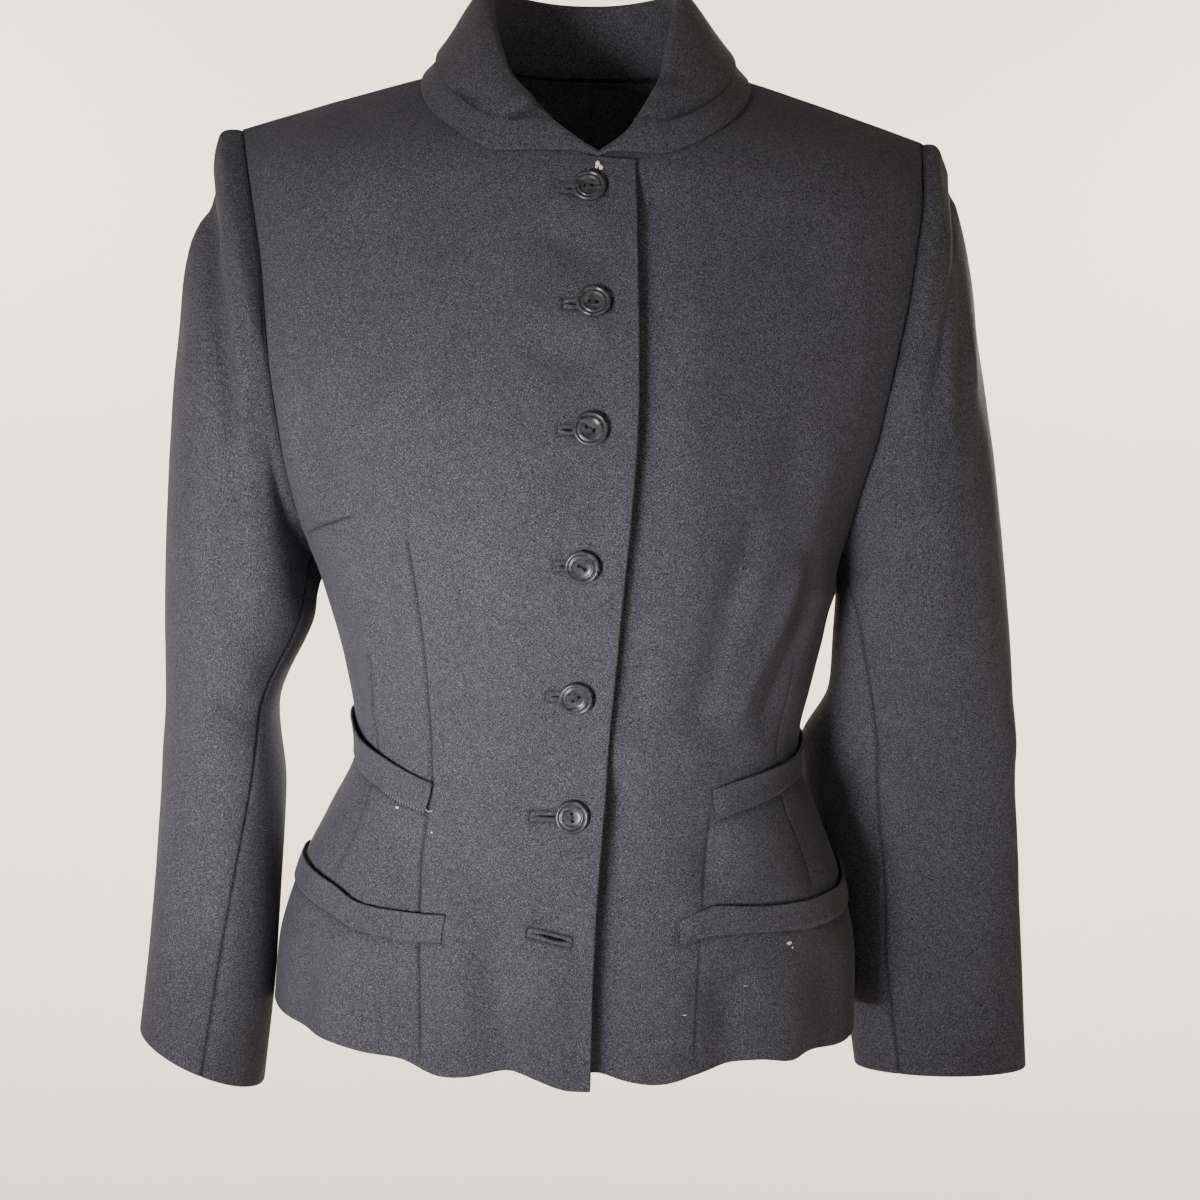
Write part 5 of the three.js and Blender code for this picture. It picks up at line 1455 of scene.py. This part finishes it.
def baked(piece):
    """Keeps what a piece's modifiers make as its plain mesh."""
    graph = bpy.context.evaluated_depsgraph_get()
    result = bpy.data.meshes.new_from_object(piece.evaluated_get(graph))
    piece.modifiers.clear()
    piece.data = result


def cut_by(piece, cutter):
    """Takes a cutter's shape out of a piece."""
    modifier = piece.modifiers.new("holes", "BOOLEAN")
    modifier.operation = "DIFFERENCE"
    modifier.solver = "EXACT"
    modifier.object = cutter
    baked(piece)
    bpy.data.objects.remove(cutter)


def crisp(piece, degrees):
    """Smooth faces with true edges wherever the surface turns more sharply."""
    work = bmesh.new()
    work.from_mesh(piece.data)
    for face in work.faces:
        face.smooth = True
    for edge in work.edges:
        edge.smooth = len(edge.link_faces) != 2 or edge.calc_face_angle() < math.radians(degrees)
    work.to_mesh(piece.data)
    work.free()


# %% Buttons
BUTTON_SEAT = 0.5
HOLE, HOLES_APART = 2.1, 3.8
DRILL = [(0, -3), (HOLE / 2, -3), (HOLE / 2, 6), (0, 6)]
# Half of a turned button, as radius and height from the middle of its back to that of its face.
PROFILE = [
    (0, 0), (5.5, 0), (7.4, 0.1), (8.6, 0.55), (9.3, 1.2), (9.5, 1.9), (9.35, 2.6), (9.0, 3.1),
    (8.55, 3.38), (8.1, 3.42), (7.65, 3.2), (7.3, 2.75), (7.0, 2.45), (6.7, 2.5), (6.4, 2.8),
    (6.1, 3.0), (5.75, 3.02), (5.4, 2.8), (5.0, 2.5), (4.4, 2.3), (3.4, 2.18), (2.0, 2.12), (0, 2.1)]
BUTTON_SIDES, DRILL_SIDES, STEM_SIDES = 72, 20, 12
CRISP_DEGREES = 50
STRAND, STEM = 0.24, 0.85
STRANDS_AT = (-0.32, 0.32)
STRAND_IN, STRAND_TOP, STRAND_STEP = 0.6, 2.5, 0.08
# The way of a strand up out of a hole: share of the half between the holes, and height.
STRAND_RISES = [(1, 0.2), (1, 1.7), (0.72, 2.35)]


def placed(verts, closure, turn=0.0):
    """Button points in mm moved onto the front at a closure, turned about the button's axis."""
    along, up, out = closure_frame(closure)
    rise = closure["rise"]
    spot, _ = on_skin(LAPPED, rise, share_at(LAPPED, rise, closure["button"]))
    c, s = math.cos(math.radians(turn)), math.sin(math.radians(turn))
    x = verts[:, 0] * c - verts[:, 1] * s
    y = verts[:, 0] * s + verts[:, 1] * c
    return spot + np.outer(x, along) + np.outer(y, up) + np.outer(verts[:, 2] + BUTTON_SEAT, out)


def build_button(n, closure):
    verts, faces = spun(PROFILE, BUTTON_SIDES)
    button = mesh_piece(f"horn_button_{n}", placed(verts, closure, closure["turn"]) * MM, faces)
    verts, faces = spun(DRILL, DRILL_SIDES)
    drills = []
    for side in (-1, 1):
        moved = verts + np.array([side * HOLES_APART / 2, 0, 0])
        drills.append(mesh_piece(f"drill_{side}", placed(moved, closure, closure["turn"]) * MM, faces))
    cut_by(button, joined("drills", drills))
    crisp(button, CRISP_DEGREES)
    return button


def build_thread(n, closure):
    """Two strands across the button and the stem under it."""
    half = HOLES_APART / 2 - STRAND_IN
    strands = []
    for k, y in enumerate(STRANDS_AT):
        arc = [(-half * x, y, h) for x, h in STRAND_RISES]
        arc.append((0, y * 0.8, STRAND_TOP + STRAND_STEP * k))
        arc += [(half * x, y, h) for x, h in STRAND_RISES[::-1]]
        verts, faces = tube(arc, STRAND)
        strands.append(mesh_piece(f"strand_{k}", placed(verts, closure, closure["turn"]) * MM, faces))
    long = LAP_LIFT * 0.9 - 0.4 + BUTTON_SEAT
    verts, faces = tube([(0, 0, 0.4), (0, 0, -long / 2), (0, 0, -long)], STEM, STEM_SIDES)
    strands.append(mesh_piece("stem", placed(verts, closure) * MM, faces))
    return joined(f"thread_button_{n}", strands)


buttons, threads = {}, {}
for n, closure in enumerate(closures()[:BUTTONS], 1):
    buttons[n] = build_button(n, closure)
    threads[n] = build_thread(n, closure)
print("buttons:", len(buttons), "faces each:", len(buttons[1].data.polygons))

# %% [markdown]
# ## Materials
# Everything is procedural. Colours are written as the hex values that an eye would pick, and one
# function turns them into the linear light that a renderer adds and multiplies. Another turns the
# size of a pattern in mm into the scale that a texture asks for.

# %% Material helpers
def linear(hexed):
    """An sRGB hex colour as linear red, green, blue and alpha."""
    parts = [int(hexed[k:k + 2], 16) / 255 for k in (1, 3, 5)]
    return (*[c / 12.92 if c <= 0.04045 else ((c + 0.055) / 1.055) ** 2.4 for c in parts], 1)


def node(tree, kind, links=None, **settings):
    """Adds a node. Settings are its own properties or its sockets' values; links are its inputs."""
    made = tree.nodes.new(kind)
    for key, value in settings.items():
        if hasattr(made, key):
            setattr(made, key, value)
        else:
            made.inputs[int(key[1:]) if key[1:].isdigit() else key.replace("_", " ")].default_value = value
    for key, source in (links or {}).items():
        tree.links.new(source, made.inputs[key])
    return made


def per_metre(mm):
    """A texture's scale, where one cell of it is so many mm wide."""
    return 1 / (mm * MM)


def material(name):
    made = bpy.data.materials.new(name)
    made.use_nodes = True
    made.node_tree.nodes.clear()
    return made, made.node_tree


print("scale of a 1 mm grain:", per_metre(1))

# %% Wool
# In mm: tufts of fleece, softer clouds, wide drifts of tone, and cells that hold a pale hair.
TUFT, CLOUD, DRIFT, HAIR_CELL = 0.6667, 2.941, 33.33, 1.923
# A real twill line lies every 0.7 mm and is drawn at 1.5 mm so that it just shows. A wave
# texture at scale 1 has a line every pi / 10.
TWILL_DRAWN = 1.496
WAVE_LINE = math.pi / 10
TWILL_TURN = 52


def melton_wool(name, dark, light, fleck):
    """Charcoal melton: yarn spun from dark and pale fleece, woven as a fine twill, then fulled
    and brushed, so the eye gets a salt-and-pepper heather under a soft matt nap."""
    made, tree = material(name)
    uv = node(tree, "ShaderNodeUVMap", uv_map="Cloth")
    space = node(tree, "ShaderNodeTexCoord").outputs["Object"]
    # Heather: tufts of dark and pale fleece, clouded softly and drifting in tone.
    tufts = node(tree, "ShaderNodeTexNoise", {"Vector": space},
                 Scale=per_metre(TUFT), Detail=1.0, Roughness=0.5)
    clouds = node(tree, "ShaderNodeTexNoise", {"Vector": space},
                  Scale=per_metre(CLOUD), Detail=1.0, Roughness=0.5)
    wide = node(tree, "ShaderNodeTexNoise", {"Vector": space},
                Scale=per_metre(DRIFT), Detail=2.0, Roughness=0.5)
    # Twill: slanting lines, all but buried in the nap.
    turned = node(tree, "ShaderNodeMapping", {"Vector": uv.outputs["UV"]},
                  Rotation=(0, 0, math.radians(TWILL_TURN)))
    twill = node(tree, "ShaderNodeTexWave", {"Vector": turned.outputs["Vector"]},
                 wave_type="BANDS", bands_direction="X", Scale=WAVE_LINE * per_metre(TWILL_DRAWN),
                 Distortion=2.0, Detail=2.0, Detail_Scale=1.5)
    softened = node(tree, "ShaderNodeMath", {0: clouds.outputs["Fac"], 2: tufts.outputs["Fac"]},
                    operation="MULTIPLY_ADD", _1=0.12)
    second = node(tree, "ShaderNodeMath", {0: twill.outputs["Fac"], 2: softened.outputs["Value"]},
                  operation="MULTIPLY_ADD", _1=0.05)
    blend = node(tree, "ShaderNodeMapRange", {"Value": second.outputs["Value"]},
                 From_Min=0.38, From_Max=0.84)
    heather = node(tree, "ShaderNodeMix", {"Factor": blend.outputs["Result"]},
                   data_type="RGBA", _6=linear(dark), _7=linear(light))
    cloudy = node(tree, "ShaderNodeMapRange", {"Value": wide.outputs["Fac"]},
                  From_Min=0.3, From_Max=0.7, To_Min=0.94, To_Max=1.06)
    toned = node(tree, "ShaderNodeVectorMath",
                 {0: heather.outputs["Result"], "Scale": cloudy.outputs["Result"]}, operation="SCALE")
    # Seams and creases: painted shade puts a fine dark line in each seam, dart, deep crease and collar edge;
    # along a seam, pressing also lays the nap flat.
    nap_and_shade_attribute = node(tree, "ShaderNodeAttribute", attribute_name="nap_and_shade")
    kept = node(tree, "ShaderNodeMapRange", {"Value": nap_and_shade_attribute.outputs["Fac"]}, To_Min=1.0, To_Max=0.42)
    lined = node(tree, "ShaderNodeVectorMath",
                 {0: toned.outputs["Vector"], "Scale": kept.outputs["Result"]}, operation="SCALE")
    # Flecks: single pale hairs of fleece, about one in every square of 3 mm.
    spots = node(tree, "ShaderNodeTexVoronoi", {"Vector": space},
                 Scale=per_metre(HAIR_CELL), Randomness=1.0)
    chosen = node(tree, "ShaderNodeMapRange", {"Value": spots.outputs["Distance"]},
                  From_Min=0.22, From_Max=0.04, To_Max=0.6)
    flecked = node(tree, "ShaderNodeMix", {"Factor": chosen.outputs["Result"], 6: lined.outputs["Vector"]},
                   data_type="RGBA", _7=linear(fleck))
    bump = node(tree, "ShaderNodeBump", {"Height": second.outputs["Value"]},
                Strength=0.5, Distance=0.22 * MM)
    shader = node(tree, "ShaderNodeBsdfPrincipled",
                  {"Base Color": flecked.outputs["Result"], "Normal": bump.outputs["Normal"]},
                  Roughness=0.92, IOR=1.5, Specular_IOR_Level=0.15, Sheen_Weight=0.1,
                  Sheen_Roughness=0.5, Sheen_Tint=linear("#b9b9c8"))
    node(tree, "ShaderNodeOutputMaterial", {"Surface": shader.outputs["BSDF"]})
    return made


WOOL = melton_wool("charcoal_melton_wool", "#1f1f24", "#5a595f", "#8d8b90")
for piece in cloth.values():
    piece.data.materials.append(WOOL)
print("wool nodes:", len(WOOL.node_tree.nodes))

# %% Horn and thread
# Cloudy streaks in the horn and the fine scratches of its buffing. The plies of the thread are
# 0.15 mm wide, and are drawn three times as coarse so that they show.
HORN_CLOUD, HORN_STRETCH, BUFFED = 5.263, 3.0, 0.3846
PLIES_DRAWN = 0.4545


def polished_horn(name):
    """Buffalo horn, turned and buffed: nearly black, faintly cloudy, with a soft worn gloss."""
    made, tree = material(name)
    space = node(tree, "ShaderNodeTexCoord").outputs["Object"]
    streak = node(tree, "ShaderNodeMapping", {"Vector": space}, Scale=(1.0, 1.0, HORN_STRETCH))
    cloud = node(tree, "ShaderNodeTexNoise", {"Vector": streak.outputs["Vector"]},
                 Scale=per_metre(HORN_CLOUD), Detail=4.0, Roughness=0.6)
    grain = node(tree, "ShaderNodeTexNoise", {"Vector": space}, Scale=per_metre(BUFFED), Detail=2.0)
    shade = node(tree, "ShaderNodeMapRange", {"Value": cloud.outputs["Fac"]}, From_Min=0.35, From_Max=0.7)
    colour = node(tree, "ShaderNodeMix", {"Factor": shade.outputs["Result"]}, data_type="RGBA",
                  _6=linear("#1b1c1f"), _7=linear("#4b4c51"))
    worn = node(tree, "ShaderNodeMapRange", {"Value": grain.outputs["Fac"]}, From_Min=0.3, From_Max=0.7,
                To_Min=0.22, To_Max=0.36)
    bump = node(tree, "ShaderNodeBump", {"Height": grain.outputs["Fac"]}, Strength=0.25, Distance=0.04 * MM)
    shader = node(tree, "ShaderNodeBsdfPrincipled", {
        "Base Color": colour.outputs["Result"], "Roughness": worn.outputs["Result"],
        "Normal": bump.outputs["Normal"]}, IOR=1.54)
    node(tree, "ShaderNodeOutputMaterial", {"Surface": shader.outputs["BSDF"]})
    return made


def waxed_thread(name, dark, light):
    """Sewing thread, cotton or silk: fine plies twisted together, matt with a faint lustre."""
    made, tree = material(name)
    space = node(tree, "ShaderNodeTexCoord").outputs["Object"]
    plies = node(tree, "ShaderNodeTexNoise", {"Vector": space}, Scale=per_metre(PLIES_DRAWN), Detail=2.0)
    colour = node(tree, "ShaderNodeMix", {"Factor": plies.outputs["Fac"]},
                  data_type="RGBA", _6=linear(dark), _7=linear(light))
    bump = node(tree, "ShaderNodeBump", {"Height": plies.outputs["Fac"]}, Strength=0.5, Distance=0.1 * MM)
    shader = node(tree, "ShaderNodeBsdfPrincipled",
                  {"Base Color": colour.outputs["Result"], "Normal": bump.outputs["Normal"]},
                  Roughness=0.7, Sheen_Weight=0.2)
    node(tree, "ShaderNodeOutputMaterial", {"Surface": shader.outputs["BSDF"]})
    return made


HORN = polished_horn("polished_buffalo_horn")
THREAD = waxed_thread("black_button_thread", "#0f0f12", "#222226")
for piece in buttons.values():
    piece.data.materials.append(HORN)
for piece in threads.values():
    piece.data.materials.append(THREAD)
print("materials:", [made.name for made in (WOOL, HORN, THREAD)])

# %% [markdown]
# ## Sewing and lint
# The welts are slip-stitched by hand along their lower edges and tacked at their ends, and each
# stitch repeats along a path. Geometry Nodes sets them out: it walks the path, drops a small
# spindle of thread at every step and varies each one by a fixed seed. Placing them one by one
# would fill pages. A few specks of lint and one loose end of thread are made one by one.

# %% Stitch tree
STITCH_UNEVEN = 0.35


def stitch_tree(thread):
    """Geometry Nodes: spindles of thread along a path, each laid along the path's own "lie"."""
    tree = bpy.data.node_groups.new("stitches_along_a_path", "GeometryNodeTree")
    face = tree.interface
    face.new_socket("Path", in_out="INPUT", socket_type="NodeSocketGeometry")
    for label in ("Spacing", "Length", "Thickness", "Unevenness"):
        face.new_socket(label, in_out="INPUT", socket_type="NodeSocketFloat")
    face.new_socket("Seed", in_out="INPUT", socket_type="NodeSocketInt")
    face.new_socket("Stitches", in_out="OUTPUT", socket_type="NodeSocketGeometry")
    given = node(tree, "NodeGroupInput").outputs
    line = node(tree, "GeometryNodeMeshToCurve", {"Mesh": given["Path"]})
    steps = node(tree, "GeometryNodeResampleCurve",
                 {"Curve": line.outputs["Curve"], "Length": given["Spacing"]}, mode="LENGTH")
    lie = node(tree, "GeometryNodeInputNamedAttribute", data_type="FLOAT_VECTOR", Name="lie")
    turned = node(tree, "FunctionNodeAlignRotationToVector", {"Vector": lie.outputs["Attribute"]}, axis="Z")
    least = node(tree, "ShaderNodeMath", {1: given["Unevenness"]}, operation="SUBTRACT", _0=1.0)
    most = node(tree, "ShaderNodeMath", {1: given["Unevenness"]}, operation="ADD", _0=1.0)
    vary = node(tree, "FunctionNodeRandomValue",
                {2: least.outputs["Value"], 3: most.outputs["Value"], "Seed": given["Seed"]},
                data_type="FLOAT")
    long = node(tree, "ShaderNodeMath", {0: given["Length"], 1: vary.outputs[1]}, operation="MULTIPLY")
    size = node(tree, "ShaderNodeCombineXYZ",
                {"X": given["Thickness"], "Y": given["Thickness"], "Z": long.outputs["Value"]})
    spindle = node(tree, "GeometryNodeMeshUVSphere", Segments=8, Rings=6, Radius=0.5)
    placed_all = node(tree, "GeometryNodeInstanceOnPoints", {
        "Points": steps.outputs["Curve"], "Instance": spindle.outputs["Mesh"],
        "Rotation": turned.outputs["Rotation"], "Scale": size.outputs["Vector"]})
    real = node(tree, "GeometryNodeRealizeInstances", {"Geometry": placed_all.outputs["Instances"]})
    smooth = node(tree, "GeometryNodeSetShadeSmooth", {"Geometry": real.outputs["Geometry"]})
    dressed = node(tree, "GeometryNodeSetMaterial", {"Geometry": smooth.outputs["Geometry"]}, Material=thread)
    node(tree, "NodeGroupOutput", {"Stitches": dressed.outputs["Geometry"]})
    return tree


def path_piece(name, lines):
    """Loose lines of points in mm as one mesh, with the lie of the stitches stored on each point."""
    verts, edges, lies = [], [], []
    for points, lie in lines:
        first = len(verts)
        verts += [tuple(p * MM) for p in points]
        lies += list(lie)
        edges += [(first + k, first + k + 1) for k in range(len(points) - 1)]
    mesh = bpy.data.meshes.new(name)
    mesh.from_pydata(verts, edges, [])
    stored = mesh.attributes.new("lie", "FLOAT_VECTOR", "POINT")
    stored.data.foreach_set("vector", np.array(lies, float).ravel())
    return added(name, mesh)


def stitched(name, lines, tree, spacing, long, thick, seed):
    """Runs the stitch tree along lines, with its sizes in mm, and keeps the result as a plain mesh."""
    inputs = {"Spacing": spacing * MM, "Length": long * MM, "Thickness": thick * MM,
              "Unevenness": STITCH_UNEVEN, "Seed": seed}
    piece = path_piece(name, lines)
    modifier = piece.modifiers.new("stitches", "NODES")
    modifier.node_group = tree
    for socket in tree.interface.items_tree:
        if socket.in_out == "INPUT" and socket.name in inputs:
            modifier[socket.identifier] = inputs[socket.name]
    baked(piece)
    return piece


print("stitches vary by:", STITCH_UNEVEN)

# %% Where the stitches run
FOOT_LIFT, TACK_LIFT = 0.75, 0.9


def welt_foot(name, lean, last=0.97):
    """The slip-stitched lower edge of a welt, with its stitches leaning across the edge."""
    panel, rows = WELTS[name]
    share = np.linspace(rows["share"][0] + 0.004, last, 90)
    low = curve(rows, "share", "low")(share)
    points, normals = on_skin(panel, low - 0.1, share, FOOT_LIFT)
    tangent = unit(np.gradient(points, axis=0))
    up = np.cross(normals, tangent) * FLIP[panel]
    return points, unit(tangent * lean + up)


def welt_end(name):
    """The tacked inner end of a welt."""
    panel, rows = WELTS[name]
    share = rows["share"][0]
    rise = np.linspace(rows["low"][0] + 1, rows["high"][0] - 0.5, 20)
    points, normals = on_skin(panel, rise, share - 0.0012, TACK_LIFT)
    along = unit(np.cross(normals, unit(np.gradient(points, axis=0))))
    return points, along


GREY_THREAD = waxed_thread("worn_grey_silk_thread", "#77767c", "#b3b1b3")
CHARCOAL_THREAD = waxed_thread("charcoal_cotton_thread", "#17171b", "#303036")
worn, dark = stitch_tree(GREY_THREAD), stitch_tree(CHARCOAL_THREAD)
hip_feet = [welt_foot("hip_welt_right", 0.8), welt_foot("hip_welt_left", -0.8)]
ends = [welt_end(name) for name in WELTS]
# Each run: its paths, its thread, then spacing, length and thickness in mm, and its seed.
RUNS = {
    "stitches_waist_welt_right": ([welt_foot("waist_welt_right", 0.7, 0.62)], worn, 2.1, 1.5, 0.28, 3),
    "stitches_waist_welt_left": ([welt_foot("waist_welt_left", -0.8)], dark, 3.4, 0.9, 0.24, 5),
    "stitches_hip_welts": (hip_feet, dark, 3.0, 1.0, 0.24, 8),
    "tacks_welt_ends": (ends, dark, 2.4, 1.4, 0.3, 21),
}
sewn = [stitched(name, *run) for name, run in RUNS.items()]
print("stitches:", {piece.name: len(piece.data.polygons) for piece in sewn})


# %% Lint and the loose end
def nearest_spot(panel, x, z):
    """The rise and share of the point of a panel nearest to an x and z seen from the front."""
    grid = skins[panel]
    off = (grid[..., 0] - x) ** 2 + (grid[..., 2] - z) ** 2
    rise, share = np.unravel_index(np.argmin(off), off.shape)
    return float(rise), share / (SHARES - 1)


def speck(name, panel, x, z, wide, tall, lift, seed):
    """A crumpled speck of lint, pressed against the cloth."""
    spot, normal = on_skin(panel, *nearest_spot(panel, x, z), lift)
    work = bmesh.new()
    bmesh.ops.create_icosphere(work, subdivisions=3, radius=1)
    points = np.array([v.co for v in work.verts])
    lumps = 1 + 0.45 * unevenness(points, 0.62, seed) + 0.2 * unevenness(points, 0.24, seed + 1)
    right = unit(np.cross([0, 0, 1], -normal))
    shaped = points * lumps[:, None]
    moved = (spot + np.outer(shaped[:, 0] * wide / 2, right) + np.outer(shaped[:, 2] * tall / 2, [0, 0, 1])
             + np.outer(shaped[:, 1] * min(wide, tall) / 5, normal))
    faces = [[v.index for v in face.verts] for face in work.faces]
    work.free()
    return mesh_piece(name, moved * MM, faces)


# Each speck: its panel, its x and z, how wide and tall it is, and how far it stands off.
LINT_SPOTS = [
    ("front_right", 5.2, -76.0, 2.6, 3.0, 0.7), ("front_right", 7.0, -77.6, 2.2, 2.4, 0.6),
    ("front_right", 4.4, -78.0, 1.6, 1.4, 0.6), ("front_left", 124.5, -516, 3.6, 2.0, 0.4),
    ("front_left", 127, -518, 1.4, 1.0, 0.4), ("front_right", -103, -441, 2.2, 1.2, 0.6),
    ("front_right", -82, -452, 1.1, 0.9, 0.3), ("front_left", 63, -549, 2.4, 0.35, 0.15),
    ("front_left", 99, -537, 2.0, 0.3, 0.15)]
LOOSE_END = [(-100, -434.5, 1.5), (-97, -437.6, 1.0), (-93.5, -438.4, 0.6), (-90, -437.2, 0.8),
             (-87, -438.4, 0.6), (-84, -440.6, 0.5), (-81.6, -440.2, 0.6)]
LOOSE_THICK = 0.14


def loose_line():
    """The loose end's course over the right front, rounded at its bends."""
    points = np.array([on_skin("front_right", *nearest_spot("front_right", x, z), lift)[0]
                       for x, z, lift in LOOSE_END])
    run = run_of(points)
    fine = np.linspace(0, run[-1], 60)
    line = np.stack([np.interp(fine, run, points[:, k]) for k in range(3)], 1)
    for _ in range(10):
        line[1:-1] = (line[:-2] + 2 * line[1:-1] + line[2:]) / 4
    return line


LINT = waxed_thread("cream_lint", "#cdbfa4", "#f4ead6")
specks = [speck(f"lint_{n}", *spot, n) for n, spot in enumerate(LINT_SPOTS, 1)]
verts, faces = tube(loose_line(), LOOSE_THICK)
loose_end = mesh_piece("loose_thread_end", verts * MM, faces)
for piece in [loose_end, *specks]:
    piece.data.materials.append(LINT)
print("specks of lint:", len(specks))

# %% [markdown]
# ## Putting each piece in place
# Each cloth piece is attached to the root and takes the place of its plain solid, which is hidden.

# %% Attaching the cloth
for name, piece in cloth.items():
    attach(piece, "root")
    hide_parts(name)

# %% Small pieces
for piece in [*sewn, *specks, loose_end]:
    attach(piece, "root")
for n in buttons:
    for piece, slot in ((buttons[n], "button"), (threads[n], "wool")):
        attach(piece, "root")
    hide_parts(f"button_{n}")
print("small pieces:", len(sewn) + len(specks) + 1 + 2 * len(buttons))

# %% [markdown]
# ## Studio
# A pale sweep stands behind the jacket. A narrow key light comes from low on the camera's left, a
# wide and cooler fill from its right, and a third light reaches the back. Two more brighten the
# wall. Plain disks do this, since no lamp shows in the picture.

# %% Sweep
# The floor is flat out to FLOOR, curves up over BEND and stands as a wall. All is in metres.
FLOOR, BEND, WALL_TOP, FLOOR_Z = 1.6, 0.9, 3.6, -1.15
SWEEP_SIDES = 96


def sweep():
    """A round studio floor that curves up into a wall on every side."""
    profile = [(FLOOR, 0.0)]
    profile += [(FLOOR + BEND * math.sin(a), BEND - BEND * math.cos(a))
                for a in np.linspace(0.1, math.pi / 2, 12)]
    profile.append((FLOOR + BEND, WALL_TOP))
    verts = [(0, 0, FLOOR_Z)]
    for r, h in profile:
        verts += circle(r, h + FLOOR_Z, SWEEP_SIDES)
    faces = []
    for k in range(SWEEP_SIDES):
        after = (k + 1) % SWEEP_SIDES
        faces.append((0, 1 + k, 1 + after))
        for a in range(1, 1 + (len(profile) - 1) * SWEEP_SIDES, SWEEP_SIDES):
            faces.append((a + k, a + SWEEP_SIDES + k, a + SWEEP_SIDES + after, a + after))
    mesh = bpy.data.meshes.new("studio_sweep")
    mesh.from_pydata(verts, [], faces)
    for face in mesh.polygons:
        face.use_smooth = True
    made, tree = material("painted_plaster")
    shader = node(tree, "ShaderNodeBsdfPrincipled", Base_Color=linear("#cfccc6"), Roughness=0.9)
    node(tree, "ShaderNodeOutputMaterial", {"Surface": shader.outputs["BSDF"]})
    mesh.materials.append(made)
    return added("studio_sweep", mesh)


sweep()
print("wall's radius, m:", FLOOR + BEND)

# %% Lights
# Each light: its place and its aim, how wide it is, its watts, its colour and its spread.
LIGHTS = {
    "key": ((-0.58, -1.12, -0.56), (-0.08, 0, -0.35), 0.44, 2.3, "#fbfbff", 44),
    "fill": ((0.7, -1.3, -0.35), (0.08, 0, -0.35), 0.8, 1.9, "#dfe5ff", 180),
    "back": ((0.75, 1.35, 0.0), (0, 0.1, -0.33), 0.5, 2.6, "#fbfbff", 50),
    "wall_-1": ((-1.2, 0.6, 0.7), (-0.7, 2.5, -0.3), 0.8, 95, "#fff6e6", 150),
    "wall_1": ((1.2, 0.6, 0.7), (0.7, 2.5, -0.3), 0.8, 95, "#fff6e6", 150),
}
AIR_COLOUR, AIR_GLOW = "#e8e9ee", 0.1


def soft_light(name, place, aim, size, watts, colour, spread):
    data = bpy.data.lights.new(name, "AREA")
    data.shape = "DISK"
    data.size = size
    data.energy = watts
    data.spread = math.radians(spread)
    data.color = linear(colour)[:3]
    light = added(name, data)
    light.location = place
    light.rotation_mode = "QUATERNION"
    light.rotation_quaternion = (Vector(aim) - Vector(place)).to_track_quat("-Z", "Y")


for name, light in LIGHTS.items():
    soft_light(name, *light)
world = bpy.data.worlds.new("studio_air")
world.use_nodes = True
air = world.node_tree.nodes["Background"].inputs
air["Color"].default_value = linear(AIR_COLOUR)
air["Strength"].default_value = AIR_GLOW
bpy.context.scene.world = world
print("lights:", list(LIGHTS))

# %% Camera
CAMERA_PLACE = (11, -980, -240)
FOCAL, SENSOR = 47.4, 36
PITCH, ROLL = math.radians(5), math.radians(1.2)
camera_data = bpy.data.cameras.new("camera")
camera_data.lens = FOCAL
camera_data.sensor_width = SENSOR
camera_data.clip_start = 0.05
camera = added("camera", camera_data)
camera.location = Vector(CAMERA_PLACE) * MM
camera.rotation_mode = "QUATERNION"
looking = Matrix.Rotation(math.pi / 2 - PITCH, 4, "X") @ Matrix.Rotation(ROLL, 4, "Z")
camera.rotation_quaternion = looking.to_quaternion()
bpy.context.scene.camera = camera
print("camera:", tuple(round(v, 3) for v in camera.location))
